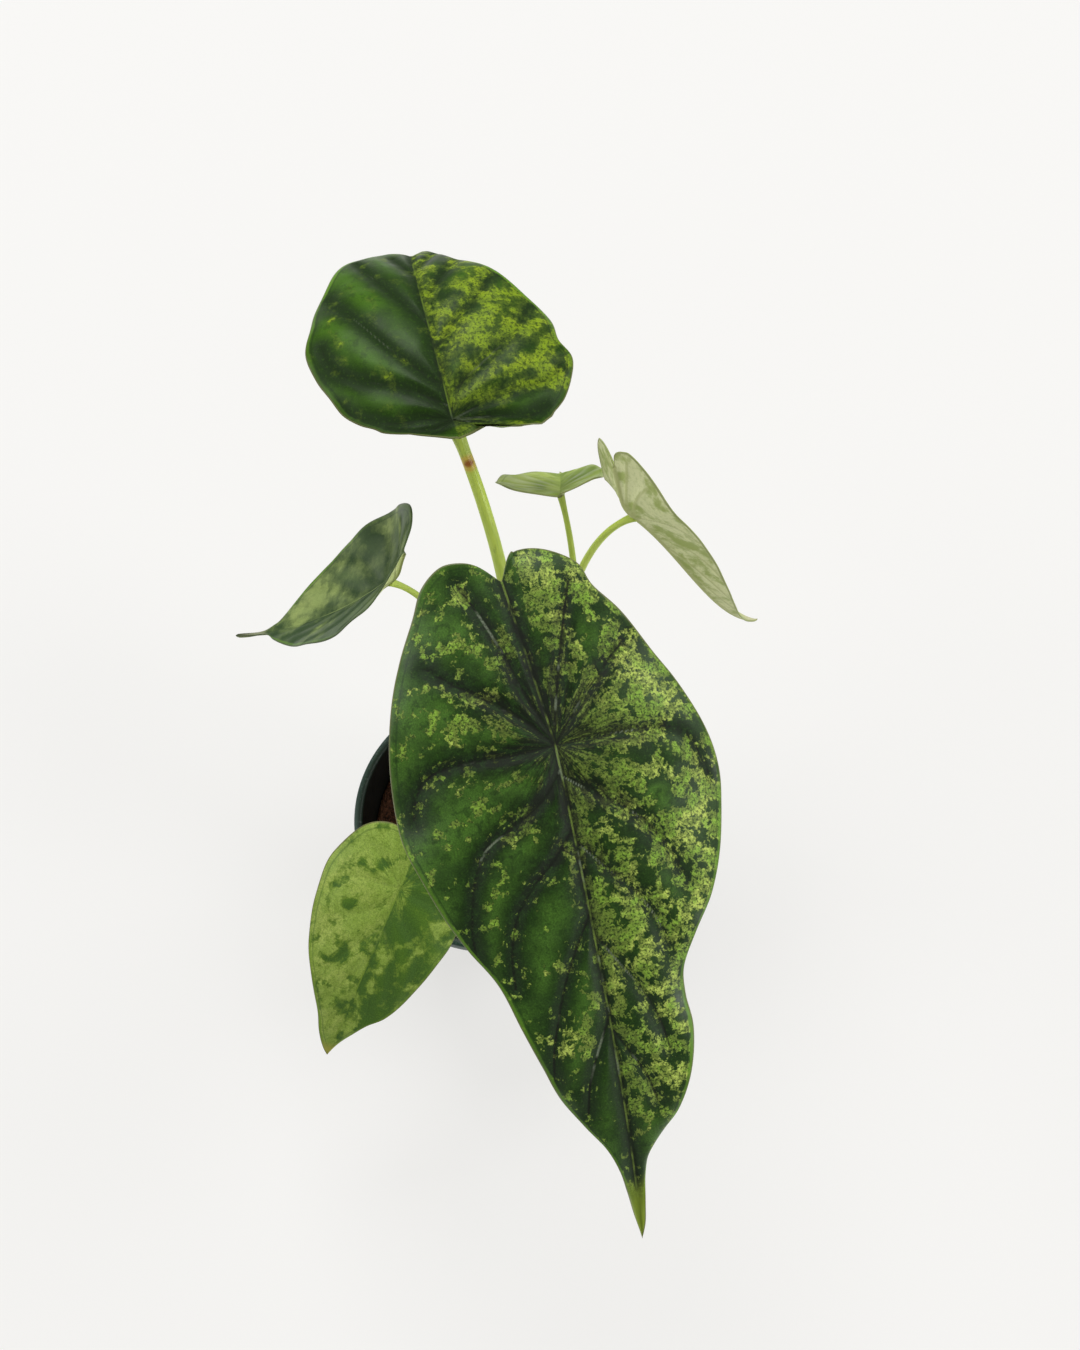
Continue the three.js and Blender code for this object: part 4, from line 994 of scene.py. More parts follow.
def flat_half(leaf, side):
    """Grids of x, y, share to the margin, and distance to the margin for one half."""
    margin = margin_of(leaf, side, leaf["rows"])
    start = margin[0, 1]
    back_rows = leaf.get("back_rows", -start / (leaf["ahead"] - start))
    share = np.linspace(0.0, 1.0, leaf["rows"] + 1) - back_rows
    inner_y = np.where(share < 0, -start * share / back_rows, leaf["ahead"] * share / (1.0 - back_rows))
    inner_x = np.where(inner_y < 0, leaf["sinus"] * inner_y / start, 0.0)
    q = np.linspace(0.0, 1.0, leaf["columns"] + 1) ** COLUMN_SPREAD
    x = inner_x[:, None] + (margin[:, :1] - inner_x[:, None]) * q
    y = inner_y[:, None] + (margin[:, 1:] - inner_y[:, None]) * q
    width = np.hypot(margin[:, 0] - inner_x, margin[:, 1] - inner_y)
    return x, y, np.broadcast_to(q, x.shape).copy(), width[:, None] * (1.0 - q)


def flat_blade(leaf):
    """Both halves side by side, from the left margin over the midrib to the right one."""
    right, left = flat_half(leaf, 1), flat_half(leaf, -1)
    grids = [np.hstack([l[:, :0:-1], r]) for l, r in zip(left, right)]
    columns = leaf["columns"]
    for grid in grids[:3]:
        grid[0], grid[-1] = grid[0, columns], grid[-1, columns]
    grids[3][0] = grids[3][-1] = 0.0
    return grids


def blade_points(name):
    """Face points, underside points, middle points and the stored fields of a blade."""
    leaf = LEAVES[name]
    x, y, q, rim = flat_blade(leaf)
    lateral, central = vein_fields(leaf, x, y)
    lift = relief(leaf, x, y, q, lateral, central)
    middle = to_plant(leaf, lay_in_leaf(leaf, x, y, lift))
    east = lay_in_leaf(leaf, x + NORMAL_STEP, y, lift) - lay_in_leaf(leaf, x - NORMAL_STEP, y, lift)
    north = lay_in_leaf(leaf, x, y + NORMAL_STEP, lift) - lay_in_leaf(leaf, x, y - NORMAL_STEP, lift)
    up = np.cross(east, north)
    up = (up / np.linalg.norm(up, axis=-1, keepdims=True)) @ turn_of(leaf).T
    half = (BLADE_MIDDLE + (BLADE_MARGIN - BLADE_MIDDLE) * q) / 2.0
    fade = np.where(y >= 0, 1.0 - y / leaf["ahead"], 1.0 + 0.6 * y / leaf["behind"]).clip(0.0, 1.0)
    size = leaf["quilt"] / FULL_QUILT
    rib = RIB_DEPTH * fade * np.exp(-((central / RIB_HALF_WIDTH) ** 2)) * (q < RIB_REACH)
    side_rib = SIDE_RIB_DEPTH * size * np.exp(-((lateral / SIDE_RIB_HALF_WIDTH) ** 2)) * (1.0 - q**3)
    face_points = middle + up * half[..., None]
    under_points = middle - up * (half + np.maximum(rib, side_rib))[..., None]
    width = np.abs(x[:, :1]) + np.abs(x[:, -1:])
    tail = smoothstep((TAIL_WIDTH - width) / TAIL_FADE) * (y > TAIL_START * leaf["ahead"])
    fields = dict(
        leaf_mm=np.stack([x, y, q], -1), vein_mm=lateral, midrib_mm=central, rim_mm=rim,
        lime=lime_layout(MARBLING[name], x, y), tail=tail.clip(0.0, 1.0),
        smoke=smoke_layout(MARBLING[name], x, y, np.minimum(lateral, central)),
    )
    return face_points, under_points, middle, fields


def rim_loop(leaf, middle):
    """Rows and columns of the margin, once round, and its points pushed out by half the thickness."""
    last, wide = leaf["rows"], 2 * leaf["columns"]
    loop = [(row, wide) for row in range(last + 1)] + [(row, 0) for row in range(last - 1, 0, -1)]
    pushed = []
    for row, column in loop:
        if row in (0, last):
            inward = middle[1 if row == 0 else last - 1, leaf["columns"]]
        else:
            inward = middle[row, wide - 1 if column else 1]
        out = middle[row, column] - inward
        pushed.append(middle[row, column] + out / np.linalg.norm(out) * BLADE_MARGIN / 2.0)
    return loop, np.array(pushed)


def store(mesh, name, values):
    """Keep one value, or one vector, per point of a mesh, for its material to read."""
    vector = values.ndim == 2 and values.shape[1] == 3
    field = mesh.attributes.new(name, "FLOAT_VECTOR" if vector else "FLOAT", "POINT")
    field.data.foreach_set("vector" if vector else "value", values.astype(np.float32).ravel())


def smooth_mesh(name, points, faces):
    """A smooth mesh from points in millimetres."""
    mesh = bpy.data.meshes.new(name)
    mesh.from_pydata((np.array(points) * MM).tolist(), [], faces)
    mesh.polygons.foreach_set("use_smooth", np.ones(len(faces), bool))
    return mesh


def show(name, mesh, node):
    """Link a finished mesh as a piece that stands for a CAD node."""
    piece = put_in_scene(name, mesh)
    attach(piece, "root")
    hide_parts(node)
    return piece


def weave_blade(name):
    """The whole blade as one closed mesh; material 0 is the face and 1 the underside."""
    leaf = LEAVES[name]
    face_points, under_points, middle, fields = blade_points(name)
    rows, wide = leaf["rows"], 2 * leaf["columns"]
    number = np.zeros((rows + 1, wide + 1), int)
    number[1:rows] = np.arange((rows - 1) * (wide + 1)).reshape(rows - 1, wide + 1) + 1
    number[rows] = (rows - 1) * (wide + 1) + 1
    count = int(number[rows, 0]) + 1
    pick = np.zeros(count, int)
    pick[number.ravel()] = np.arange(number.size)
    loop, pushed = rim_loop(leaf, middle)
    rim_rows = np.array([number[row, column] for row, column in loop])
    points = np.vstack([face_points.reshape(-1, 3)[pick], under_points.reshape(-1, 3)[pick], pushed])
    faces = []
    for row in range(rows):
        a, b = number[row], number[row + 1]
        for c in range(wide):
            corners = [a[c], a[c + 1], b[c + 1], b[c]]
            faces.append([int(v) for i, v in enumerate(corners) if v != corners[i - 1]])
    face_count = len(faces)
    faces += [[v + count for v in reversed(corners)] for corners in faces]
    round_rim = len(loop)
    for i in range(round_rim):
        j = (i + 1) % round_rim
        upper_a, upper_b, rim_a, rim_b = int(rim_rows[i]), int(rim_rows[j]), 2 * count + i, 2 * count + j
        faces.append([upper_b, upper_a, rim_a, rim_b])
        faces.append([rim_b, rim_a, upper_a + count, upper_b + count])
    mesh = smooth_mesh("blade_" + name, points, faces)
    slots = np.zeros(len(faces), np.int32)
    slots[face_count : 2 * face_count] = 1
    mesh.materials.append(finishes[name, "face"])
    mesh.materials.append(finishes[name, "under"])
    mesh.polygons.foreach_set("material_index", slots)
    for label, values in fields.items():
        flat = values.reshape(number.size, -1)[pick]
        store(mesh, label, np.vstack([flat, flat, flat[rim_rows]]))
    return show("leaf_" + name, mesh, "blade_" + name)


blades = {name: weave_blade(name) for name in LEAVES}
for name, piece in blades.items():
    print(piece.name, len(piece.data.polygons), "faces", [round(d * 1000) for d in piece.dimensions], "mm")

# %% [markdown]
# ## Petioles
# The stalks are smooth, round and lime green, thicker at the foot, where each one is a sheath with a groove
# that clasps its younger neighbour. A curve with a bevel could make the tube, but not the groove or the
# flare under the blade, so rings are swept along the same cubic curve as in the CAD source. The finish
# comes first: a foot with a brown blush, fine stripes and mottles along the stalk, and the scar under the
# back blade, which is brown in the middle with a yellow halo.

# %% Finish for the petioles
stem_green, stem, stem_shader = start_material("petiole green", Specular_IOR_Level=0.4)
stem_place = stem.attribute("stem_mm", "Vector")
stem_share = stem.attribute("stem_share")
foot_to_top = stem.mix(stem.band(stem_share, 0.0, 0.55), screen_tone(140, 158, 84), screen_tone(190, 210, 90))
stripes = stem.blots(stem_place, 0.9, 0.42, 0.7, detail=4.0, rough=0.6, flat=False)
stem_colour = stem.mix(stem.times(stripes, 0.5), foot_to_top, screen_tone(156, 182, 66))
mottles = stem.blots(stem.stretch(stem_place, (1.0, 1.0, 3.0)), 1.6, 0.6, 0.72, rough=0.6, flat=False)
stem_colour = stem.mix(stem.times(mottles, 0.35), stem_colour, screen_tone(112, 132, 66))
blush = stem.times(stem.band(stem_share, 0.16, 0.0), 0.55)
stem_colour = stem.mix(blush, stem_colour, screen_tone(150, 118, 88))
scar = stem.attribute("scar")
stem_colour = stem.mix(stem.band(scar, 0.03, 0.3, 0.0, 0.85), stem_colour, screen_tone(206, 176, 76))
stem_colour = stem.mix(stem.band(scar, 0.4, 0.7, 0.0, 0.9), stem_colour, screen_tone(150, 78, 30))
stem_dull = stem.band(stripes, 0.0, 1.0, 0.36, 0.5)
stem.wire(stem_shader, Base_Color=stem_colour, Roughness=stem_dull, Normal=stem.bump(stripes, 0.3, 0.0002))
print("petiole finish ready")

# %% [markdown]
# ## Sweeping the stalks
# Each ring stands square to the curve. Its radius shrinks from foot to top, is grooved on the side that
# faces the corm, with a raised lip on either side of the groove, and flares where it meets the blade. The
# last rings are cut off level under the blade, so that no stalk pokes through.

# %% Sweep the petioles
SOIL_LEVEL = 64.0
PETIOLE_FOOT = 52.0  # lowest ring, hidden in the mix
BURIED_RINGS = 5
PETIOLE_RINGS = 140
PETIOLE_SIDES = 24
TAPER = 0.7  # below 1, the stalk thins mostly near its foot
FLARE, FLARE_START, FLARE_LENGTH = 0.5, 0.93, 0.07
SHEATH_SHARE = 0.34  # share of the stalk that is a grooved sheath
GROOVE_DEPTH, GROOVE_HALF_ANGLE = 0.34, 0.34
LIP_HEIGHT, LIP_ANGLE, LIP_HALF_ANGLE = 0.08, 0.75, 0.3
SCAR_PLACE = np.array([-5.4, 76.9, 213.0])  # brown scar under the back blade
SCAR_RADIUS = 2.3
STALK_SINK = 0.4  # the flared top ends this far under the middle of the blade, mm
CUT_FROM = 0.9  # share of the stalk from which its rings are cut off at the blade
STRIPE_STRETCH = 0.1  # the stripes are ten times as long as they are wide


def petiole_spine(leaf):
    """Ring centres from the foot to the underside of the blade, and the blade's up direction."""
    up = turn_of(leaf) @ np.array([0.0, 0.0, 1.0])
    top = np.array(leaf["at"], float) - up * BLADE_MIDDLE * 0.5
    root = np.array([*leaf["foot"], SOIL_LEVEL])
    lean, crook = np.array(leaf["lean"], float), np.array(leaf["crook"], float)
    t = np.linspace(0.0, 1.0, PETIOLE_RINGS)[:, None]
    curve = (1 - t) ** 3 * root + 3 * (1 - t) ** 2 * t * lean + 3 * (1 - t) * t**2 * crook + t**3 * top
    below = np.linspace([*leaf["foot"], PETIOLE_FOOT], root, BURIED_RINGS + 1)[:-1]
    return np.vstack([below, curve]), up


def petiole_ring(leaf, share, turn):
    """Plain radius of a ring, and its radii all round with the groove and the lips of the sheath."""
    radius = leaf["foot_radius"] + (leaf["top_radius"] - leaf["foot_radius"]) * share**TAPER
    radius *= 1.0 + FLARE * max(0.0, (share - FLARE_START) / FLARE_LENGTH) ** 2
    inward = math.atan2(-leaf["foot"][1], -leaf["foot"][0])
    sheath = max(0.0, 1.0 - share / SHEATH_SHARE)
    away = np.angle(np.exp(1j * (turn - inward)))
    groove = 1.0 - GROOVE_DEPTH * sheath**0.6 * np.exp(-((away / GROOVE_HALF_ANGLE) ** 2))
    lips = 1.0 + LIP_HEIGHT * sheath * np.exp(-(((np.abs(away) - LIP_ANGLE) / LIP_HALF_ANGLE) ** 2))
    return radius, radius * groove * lips


def tube_faces(rings, sides):
    """Faces of a closed tube, with a flat cap at each end."""
    faces = []
    for i in range(rings - 1):
        for k in range(sides):
            a, b = i * sides + k, i * sides + (k + 1) % sides
            faces.append((a, b, b + sides, a + sides))
    last = (rings - 1) * sides
    faces.append(tuple(range(sides - 1, -1, -1)))
    faces.append(tuple(range(last, last + sides)))
    return faces


def sweep_petiole(name):
    leaf = LEAVES[name]
    spine, up = petiole_spine(leaf)
    tangents = np.gradient(spine, axis=0)
    tangents /= np.linalg.norm(tangents, axis=1, keepdims=True)
    turn = np.linspace(0.0, 2 * np.pi, PETIOLE_SIDES, endpoint=False)
    run = np.r_[0.0, np.cumsum(np.linalg.norm(np.diff(spine, axis=0), axis=1))]
    side = np.array([1.0, 0.0, 0.0])
    points, stem_mm, shares = [], [], []
    for i, (centre, tangent) in enumerate(zip(spine, tangents)):
        side = side - tangent * (side @ tangent)
        side /= np.linalg.norm(side)
        other = np.cross(tangent, side)
        share = max(0.0, (i - BURIED_RINGS) / (PETIOLE_RINGS - 1))
        radius, ring = petiole_ring(leaf, share, turn)
        place = centre + np.outer(ring * np.cos(turn), side) + np.outer(ring * np.sin(turn), other)
        proud = ((place - np.array(leaf["at"])) @ up + STALK_SINK).clip(0.0)
        points.append(place - proud[:, None] * up * (share > CUT_FROM))
        along = np.full_like(turn, run[i] * STRIPE_STRETCH)
        stem_mm.append(np.stack([radius * np.cos(turn), radius * np.sin(turn), along], -1))
        shares.append(np.full_like(turn, share))
    points = np.vstack(points)
    mesh = smooth_mesh("petiole_" + name, points, tube_faces(len(spine), PETIOLE_SIDES))
    mesh.materials.append(stem_green)
    store(mesh, "stem_mm", np.vstack(stem_mm))
    store(mesh, "stem_share", np.hstack(shares))
    from_scar = np.linalg.norm(points - SCAR_PLACE, axis=1)
    store(mesh, "scar", np.exp(-((from_scar / SCAR_RADIUS) ** 2)))
    return show("stalk_" + name, mesh, "petiole_" + name), run[-1]


for name in LEAVES:
    piece, length = sweep_petiole(name)
    print(piece.name, "runs", round(length), "mm")

# %% [markdown]
# ## The nursery pot
# The pot is thin moulded plastic: a tapered wall, a thick band under a rolled lip, and holes in the floor.
# A profile turned about the axis gives its wall, and the holes are cut with a boolean. Fresh plastic is
# dark green with a faint orange peel, scuffed paler where pots rub together, which is on the lip and the
# foot.

# %% Turning helper
def turn_profile(name, profile, sides, height_of=None):
    """A closed body turned about the pot's axis from (radius, height) points whose ends lie on the axis."""
    points, rings = [], []
    for radius, height in profile:
        if radius == 0:
            rings.append([len(points)])
            points.append((0.0, 0.0, height if height_of is None else height_of(0.0, 0.0, height)))
            continue
        ring = []
        for k in range(sides):
            x, y = radius * math.cos(2 * math.pi * k / sides), radius * math.sin(2 * math.pi * k / sides)
            ring.append(len(points))
            points.append((x, y, height if height_of is None else height_of(x, y, height)))
        rings.append(ring)
    faces = []
    for a, b in zip(rings[:-1], rings[1:]):
        for k in range(sides):
            m = (k + 1) % sides
            if len(a) == 1:
                faces.append((a[0], b[m], b[k]))
            elif len(b) == 1:
                faces.append((a[k], a[m], b[0]))
            else:
                faces.append((a[k], a[m], b[m], b[k]))
    return smooth_mesh(name, points, faces)


print("turning helper ready")

# %% [markdown]
# ## Wall, band and holes
# The profile runs from the middle of the underside up the outside of the wall, over the lip and down the
# inside. The foot stands on a low ring, so the middle of the underside is lifted a little. The six drain
# holes are cut with one cutter made of six short rods, and the result is kept as a plain mesh.

# %% Turn the pot and cut its holes
RIM_OUTER_RADIUS, POT_HEIGHT, BASE_RADIUS = 55.0, 80.0, 34.0
WALL, FLOOR = 1.6, 2.4
RIM_BAND_HEIGHT, RIM_BAND_OUT = 7.0, 1.6
POT_SIDES = 160
DRAIN_HOLES, DRAIN_RADIUS, DRAIN_RING = 6, 3.5, 21.0
DRILL_SIDES = 28
DRILL_LENGTH = 12.0


def wall_outer(z):
    return BASE_RADIUS + (RIM_OUTER_RADIUS - RIM_BAND_OUT - BASE_RADIUS) * z / POT_HEIGHT


def wall_inner(z):
    return wall_outer(z) - WALL


band_low = POT_HEIGHT - RIM_BAND_HEIGHT
pot_profile = [
    (0, 0.6), (16, 0.6), (BASE_RADIUS - 6.2, 0.6), (BASE_RADIUS - 5.4, 0.0), (BASE_RADIUS - 1.2, 0.0),
    (BASE_RADIUS - 0.35, 0.35), (BASE_RADIUS, 1.2), (wall_outer(8), 8), (wall_outer(24), 24),
    (wall_outer(40), 40), (wall_outer(56), 56), (wall_outer(band_low - 1.6), band_low - 1.6),
    (wall_outer(band_low - 0.8) + 0.2, band_low - 0.8), (RIM_OUTER_RADIUS - 0.9, band_low - 0.1),
    (RIM_OUTER_RADIUS - 0.5, band_low + 0.4), (RIM_OUTER_RADIUS - 0.25, 76), (RIM_OUTER_RADIUS, 79),
    (RIM_OUTER_RADIUS - 0.15, 79.6), (RIM_OUTER_RADIUS - 0.6, 79.95), (RIM_OUTER_RADIUS - 1.2, POT_HEIGHT),
    (wall_inner(80) + 0.9, POT_HEIGHT), (wall_inner(80) + 0.3, 79.8), (wall_inner(80), 79.2),
    (wall_inner(72), 72), (wall_inner(60), 60), (wall_inner(FLOOR), FLOOR), (0, FLOOR),
]
pot_mesh = turn_profile("pot", pot_profile, POT_SIDES)
pot = show("nursery_pot", pot_mesh, "pot")
drill_mesh = bpy.data.meshes.new("drill")
drill = bmesh.new()
for hole in range(DRAIN_HOLES):
    turn = 2 * math.pi * (hole + 0.5) / DRAIN_HOLES
    made = bmesh.ops.create_cone(
        drill, cap_ends=True, segments=DRILL_SIDES, radius1=DRAIN_RADIUS * MM, radius2=DRAIN_RADIUS * MM,
        depth=DRILL_LENGTH * MM,
    )
    offset = Vector((DRAIN_RING * math.cos(turn), DRAIN_RING * math.sin(turn), 0.0)) * MM
    bmesh.ops.translate(drill, verts=made["verts"], vec=offset)
drill.to_mesh(drill_mesh)
drill.free()
drill_object = put_in_scene("drill", drill_mesh)
cut = pot.modifiers.new("holes", "BOOLEAN")
cut.operation = "DIFFERENCE"
cut.solver = "EXACT"
cut.object = drill_object
bpy.context.view_layer.update()
cut_mesh = bpy.data.meshes.new_from_object(pot.evaluated_get(bpy.context.evaluated_depsgraph_get()))
pot.modifiers.clear()
pot.data = cut_mesh
bpy.data.objects.remove(drill_object)
print("pot:", len(pot.data.polygons), "faces,", DRAIN_HOLES, "holes")

# %% [markdown]
# ## Dark green plastic
# Moulded plastic is patchy in tone and has a faint orange peel. The lip catches the light, the inside is
# painted nearly black as shade, scuffs show where pots rub together and dust settles on the foot. All of it
# follows the height and the distance from the axis, so it needs no image.

# %% Finish for the pot
WALL_SLOPE = (RIM_OUTER_RADIUS - RIM_BAND_OUT - BASE_RADIUS) / POT_HEIGHT
pot_plastic, plastic, plastic_shader = start_material("pot plastic", Specular_IOR_Level=0.4)
pot_mm = plastic.place_mm()
pot_height = plastic.part(pot_mm, 2)
pot_radius = plastic.length(plastic.stretch(pot_mm, (1.0, 1.0, 0.0)))
patchy = plastic.noise(pot_mm, 18.0, 4.0, 0.6, flat=False)
pot_colour = plastic.mix(patchy, screen_tone(20, 34, 28), screen_tone(30, 48, 40))
lip = plastic.times(plastic.band(pot_height, 71.5, 74.0), plastic.band(pot_radius, 52.6, 54.3))
pot_colour = plastic.mix(lip, pot_colour, screen_tone(40, 64, 55))
# painted shade: within the inner wall's line, below the lip, the plastic is darkened nearly black
inner_depth = plastic.minus(pot_radius, plastic.times(pot_height, WALL_SLOPE))
inside = plastic.times(plastic.band(inner_depth, 33.3, 32.8), plastic.band(pot_height, 79.4, 78.4))
pot_colour = plastic.mix(inside, pot_colour, screen_tone(11, 14, 11))
scuff_noise = plastic.blots(pot_mm, 1.4, 0.56, 0.74, detail=5.0, rough=0.7, flat=False)
wear_and_glint_mask = plastic.math("MAXIMUM", plastic.band(pot_height, 78.6, 80.0), plastic.band(pot_height, 2.4, 0.2))
scuffs = plastic.times(plastic.times(scuff_noise, wear_and_glint_mask), 0.5)
pot_colour = plastic.mix(scuffs, pot_colour, screen_tone(110, 124, 116))
dust = plastic.times(plastic.band(pot_height, 22.0, 0.0), plastic.band(patchy, 0.4, 0.7, 0.0, 0.35))
pot_colour = plastic.mix(dust, pot_colour, screen_tone(86, 80, 68))
peel = plastic.plus(plastic.noise(pot_mm, 0.8, 2.0, flat=False), plastic.times(patchy, 0.5))
pot_dull = plastic.band(patchy, 0.3, 0.7, 0.36, 0.5)
pot_normal = plastic.bump(peel, 0.25, 0.00015)
plastic.wire(plastic_shader, Base_Color=pot_colour, Roughness=pot_dull, Normal=pot_normal)
pot.data.materials.clear()
pot.data.materials.append(pot_plastic)
pot.data.polygons.foreach_set("material_index", np.zeros(len(pot.data.polygons), np.int32))
print("pot finish ready")

# %% [markdown]
# ## Potting mix
# Aroids grow in a chunky mix of bark, coco and a little perlite. One lumpy body fills the pot, and hundreds
# of broken chips lie half sunk in its top. Each chip is the hull of a few random points, squashed flat,
# which looks like split bark from any side.

# %% Fill the pot
SOIL_LUMP = 1.3
CLEARANCE = 0.3
SOIL_SIDES = 120
TOP_RINGS = 34
EDGE_WIDTH = 8.0  # within this width of the wall the mix rises a little
CRUMB_FINENESS, CRUMB_HEIGHT = 0.35, 0.9


def soil_radius(z):
    return wall_inner(z) - CLEARANCE


def soil_height(x, y, z):
    """Lumps of the mix, as in the CAD source, with crumbs on top of them."""
    if z < SOIL_LEVEL - 0.5:
        return z
    edge = min(1.0, (soil_radius(SOIL_LEVEL) - math.hypot(x, y)) / EDGE_WIDTH)
    lumps = math.sin(x * 0.31 + 1.1) * math.cos(y * 0.27 - 0.6) + 0.6 * math.sin(x * 0.63 - y * 0.52 + 2.0)
    crumbs = noise.fractal((x * CRUMB_FINENESS, y * CRUMB_FINENESS, 4.0), 0.7, 2.0, 4) * CRUMB_HEIGHT
    return z + SOIL_LUMP * (0.45 * lumps + 0.35 * (1.0 - edge)) + crumbs * min(1.0, max(0.0, edge * 3.0))


soil_profile = [(0, FLOOR + CLEARANCE), (soil_radius(FLOOR + CLEARANCE), FLOOR + CLEARANCE)]
soil_profile += [(soil_radius(z), z) for z in (20.0, 40.0, 60.0, SOIL_LEVEL)]
soil_profile += [(soil_radius(SOIL_LEVEL) * (1.0 - k / TOP_RINGS), SOIL_LEVEL) for k in range(1, TOP_RINGS)]
soil_profile.append((0, SOIL_LEVEL))
soil_mesh = turn_profile("soil", soil_profile, SOIL_SIDES, soil_height)
show("potting_mix", soil_mesh, "soil")
print("potting mix:", len(soil_mesh.polygons), "faces")

# %% [markdown]
# ## Bark chips
# Loose chips lie at random on the mix, but not in the corm, the stalks or the wall. A particle system could
# scatter copies of one chip, but then they would all be alike. Each one here is made of its own random
# points, from a fixed seed, so that every run gives the same heap. A random shade per chip is kept for the
# finish.

# %% Scatter the bark chips
CHIPS = 460
CHIP_SEED = 7
CHIP_POINTS = 11
CORM_ROOM, STALK_ROOM, WALL_ROOM = 7.0, 1.2, 3.5  # room round what the chips keep clear of
CHIP_SMALL, CHIP_SPREAD = 1.1, 2.6  # the smallest chip, and how much larger one can be
CHIP_RARITY = 2.2  # above 1, large chips are rare
CHIP_TILT = 0.35
CHIP_LIFT = 0.12  # share of its size by which a chip lies proud of the mix


def chip_places(count, dice):
    """Random spots on the mix, clear of the wall, the corm and the stalks."""
    taken = [(0.0, 0.0, CORM_ROOM)]
    taken += [(*leaf["foot"], leaf["foot_radius"] + STALK_ROOM) for leaf in LEAVES.values()]
    spots = []
    while len(spots) < count:
        radius = (soil_radius(66) - WALL_ROOM) * math.sqrt(dice.random())
        turn = dice.uniform(0, 2 * math.pi)
        x, y = radius * math.cos(turn), radius * math.sin(turn)
        if all(math.hypot(x - a, y - b) > r for a, b, r in taken):
            spots.append((x, y))
    return spots


def split_chip(dice, size):
    """Points of one chip about its own centre."""
    thick, wide = dice.uniform(0.28, 0.5), dice.uniform(0.5, 0.9)
    made = []
    for _ in range(CHIP_POINTS):
        point = Vector([dice.gauss(0, 1) for _ in range(3)]).normalized() * dice.uniform(0.8, 1.0)
        made.append(Vector((point.x, point.y * wide, point.z * thick)) * size)
    return made


def scatter_chips():
    dice = random.Random(CHIP_SEED)
    heap = bmesh.new()
    tone = heap.verts.layers.float.new("tone")
    for x, y in chip_places(CHIPS, dice):
        size = CHIP_SMALL + CHIP_SPREAD * dice.random() ** CHIP_RARITY
        lean = Vector((dice.gauss(0, CHIP_TILT), dice.gauss(0, CHIP_TILT), 1.0)).to_track_quat("Z", "Y")
        turn = dice.uniform(0, 6.28)
        spin = Vector((math.cos(turn), math.sin(turn), 0.0)).to_track_quat("X", "Z")
        centre = Vector((x, y, soil_height(x, y, SOIL_LEVEL) + size * CHIP_LIFT))
        shade = dice.random()
        points = [heap.verts.new((centre + lean @ (spin @ p)) * MM) for p in split_chip(dice, size)]
        for point in points:
            point[tone] = shade
        bmesh.ops.convex_hull(heap, input=points)
    loose = [v for v in heap.verts if not v.link_faces]
    bmesh.ops.delete(heap, geom=loose, context="VERTS")
    bmesh.ops.recalc_face_normals(heap, faces=heap.faces)
    mesh = bpy.data.meshes.new("chips")
    heap.to_mesh(mesh)
    heap.free()
    return mesh


chips_mesh = scatter_chips()
chips = put_in_scene("bark_chips", chips_mesh)
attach(chips, "root")
print(CHIPS, "chips,", len(chips_mesh.polygons), "faces")

# %% [markdown]
# ## Finish for the mix
# Damp bark is dark red brown and matt, with fibres that catch a little light. A few pale chips stand for
# perlite. The crumb effect is a group, because the body of the mix and the chips on it share it with
# different values.

# %% Mix the bark finishes
PERLITE_FROM = 0.955  # the few chips with a random shade above this are perlite
crumb_inputs = {
    "Place": None, "Tone": 0.5, "Deep": screen_tone(40, 24, 18), "Light": screen_tone(112, 72, 54),
}
bark_crumb, crumb, given, crumb_exit = start_group(
    "bark crumb", crumb_inputs, {"Color": "Color", "Height": "Float"}
)
grain = crumb.noise(given["Place"], 1.6, 6.0, 0.7, flat=False)
fibre = crumb.noise(crumb.stretch(given["Place"], (1.0, 0.25, 1.0)), 0.5, 3.0, 0.6, flat=False)
share = crumb.plus(crumb.times(grain, 0.6), crumb.times(fibre, 0.4))
share = crumb.times(crumb.band(share, 0.35, 0.7), crumb.band(given["Tone"], 0.0, 1.0, 0.35, 1.25))
crumb_colour = crumb.mix(share, given["Deep"], given["Light"])
crumb.wire(crumb_exit, Color=crumb_colour, Height=crumb.plus(grain, fibre))


def bark_finish(name, tone_from, strength):
    """Bark for a mesh; tone_from names the shade kept on its points, or is None for soft clouds."""
    material, recipe, shader = start_material(name, Specular_IOR_Level=0.2, Roughness=0.85)
    place = recipe.place_mm()
    tone = recipe.attribute(tone_from) if tone_from else recipe.noise(place, 5.0, 2.0, flat=False)
    made = place_group(recipe, bark_crumb, {"Place": place, "Tone": tone})
    colour = made["Color"]
    if tone_from:
        perlite = recipe.band(tone, PERLITE_FROM, PERLITE_FROM + 0.01)
        colour = recipe.mix(perlite, colour, screen_tone(176, 170, 158))
    recipe.wire(shader, Base_Color=colour, Normal=recipe.bump(made["Height"], strength, 0.0006))
    return material


soil_mesh.materials.append(bark_finish("potting mix", None, 0.9))
chips_mesh.materials.append(bark_finish("bark chips", "tone", 0.7))
print("bark finishes ready")

# %% [markdown]
# ## The corm
# In the middle of the mix stands the short corm that all stalks grew from, ringed by the scars of old
# leaves and wrapped in dry brown scale. It is hidden from above by the front blade, but shows from the
# side.

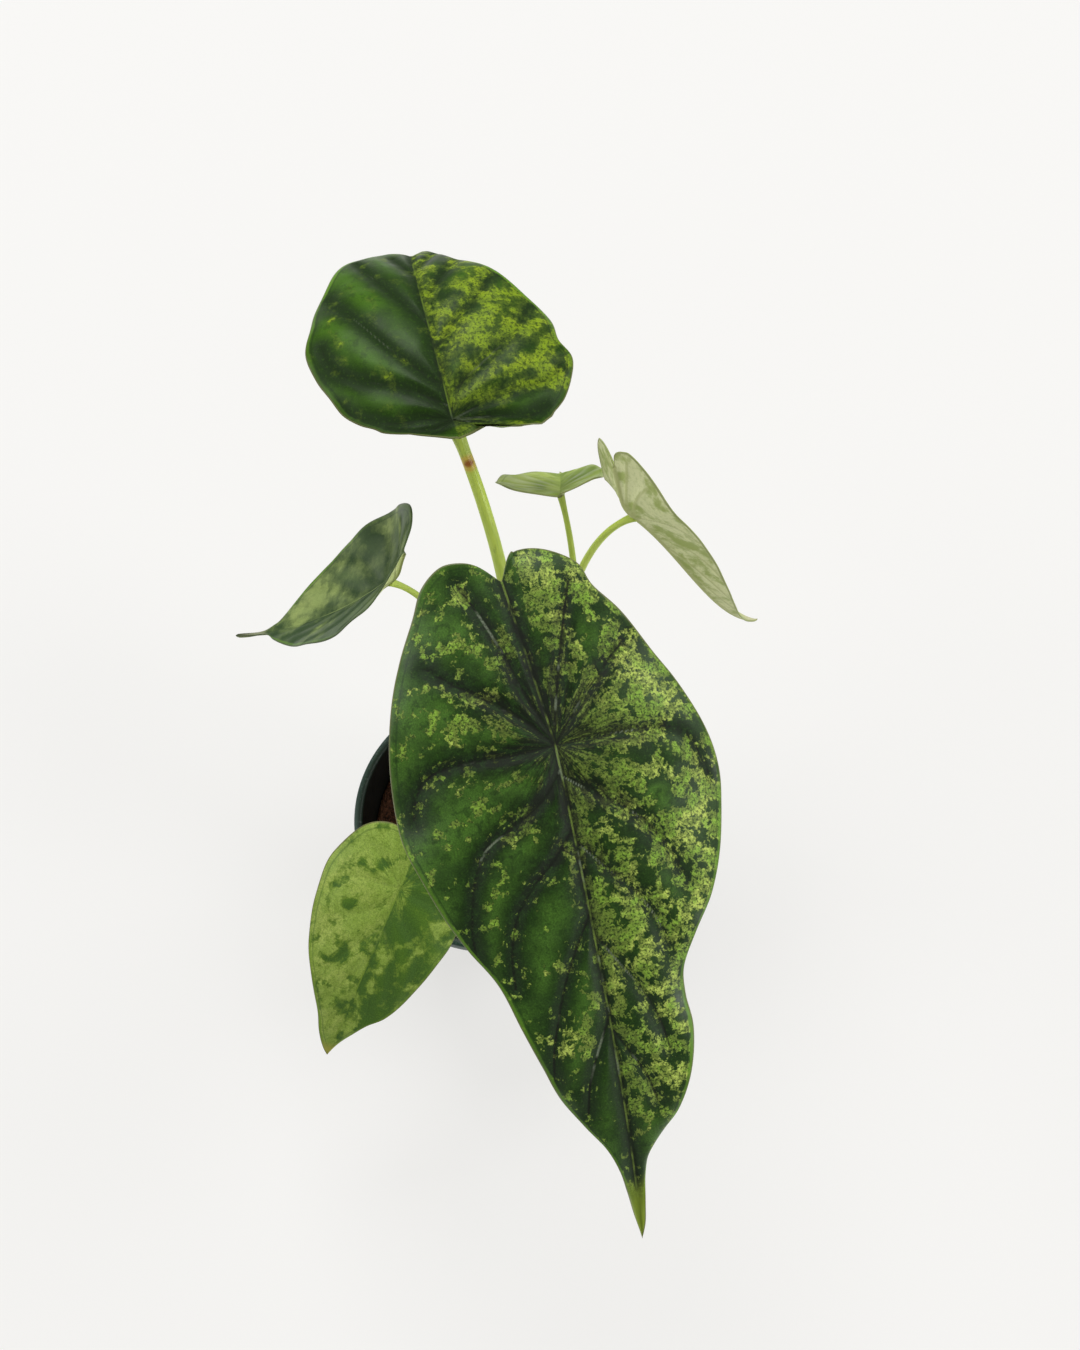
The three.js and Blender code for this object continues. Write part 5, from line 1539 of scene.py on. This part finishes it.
# %% Turn the corm
CORM_RADIUS, CORM_TOP, CORM_FOOT = 5.6, 72.0, 50.0
CORM_STEPS, CORM_STEP = 24, 0.74
CORM_SHOULDER = 65.0  # the corm narrows above this height
SCALE_DEPTH, SCALE_RHYTHM = 0.28, 1.05  # depth and spacing of the old leaves' rings
CORM_SIDES = 48
CORM_ROUGHNESS, CORM_GRAIN = 0.05, 700.0  # share of its radius, and how fine the lumps are
corm_profile = [(0, CORM_FOOT), (CORM_RADIUS - 1, CORM_FOOT), (CORM_RADIUS - 0.2, CORM_FOOT + 2)]
for step_up in range(CORM_STEPS):
    z = CORM_FOOT + 3 + step_up * CORM_STEP
    taper = max(0.0, (z - CORM_SHOULDER) / (CORM_TOP - CORM_SHOULDER))
    ring = SCALE_DEPTH * abs(math.sin(step_up * SCALE_RHYTHM))
    corm_profile.append(((CORM_RADIUS - 0.2 - ring) * (1.0 - 0.6 * taper**2), z))
corm_profile += [(1.2, CORM_TOP - 0.3), (0, CORM_TOP)]
corm_mesh = turn_profile("corm", corm_profile, CORM_SIDES)
for vertex in corm_mesh.vertices:
    out = Vector((vertex.co.x, vertex.co.y, 0.0))
    vertex.co += out * CORM_ROUGHNESS * noise.noise(vertex.co * CORM_GRAIN)
show("corm_stub", corm_mesh, "corm")
corm_scale, scale, scale_shader = start_material("corm scale", Specular_IOR_Level=0.25, Roughness=0.75)
corm_place = scale.place_mm()
fibres = scale.noise(scale.stretch(corm_place, (1.0, 1.0, 0.2)), 0.7, 4.0, 0.6, flat=False)
rings = scale.noise(scale.stretch(corm_place, (0.1, 0.1, 1.0)), 1.1, 2.0, flat=False)
corm_colour = scale.mix(scale.band(fibres, 0.35, 0.7), screen_tone(66, 50, 34), screen_tone(134, 112, 78))
corm_colour = scale.mix(scale.band(rings, 0.52, 0.7, 0.0, 0.7), corm_colour, screen_tone(52, 38, 28))
scale.wire(scale_shader, Base_Color=corm_colour, Normal=scale.bump(fibres, 0.6, 0.0003))
corm_mesh.materials.append(corm_scale)
print("corm:", len(corm_mesh.polygons), "faces")

# %% [markdown]
# ## Sizes
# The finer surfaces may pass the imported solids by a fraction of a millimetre. Both boxes are kept, so that
# the difference can be read.

# %% Write the sizes and finish
dressed_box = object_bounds()
grown = (np.array(dressed_box) - np.array(cad_box)) / MM
print("grown by mm:", np.round(grown, 2).tolist())
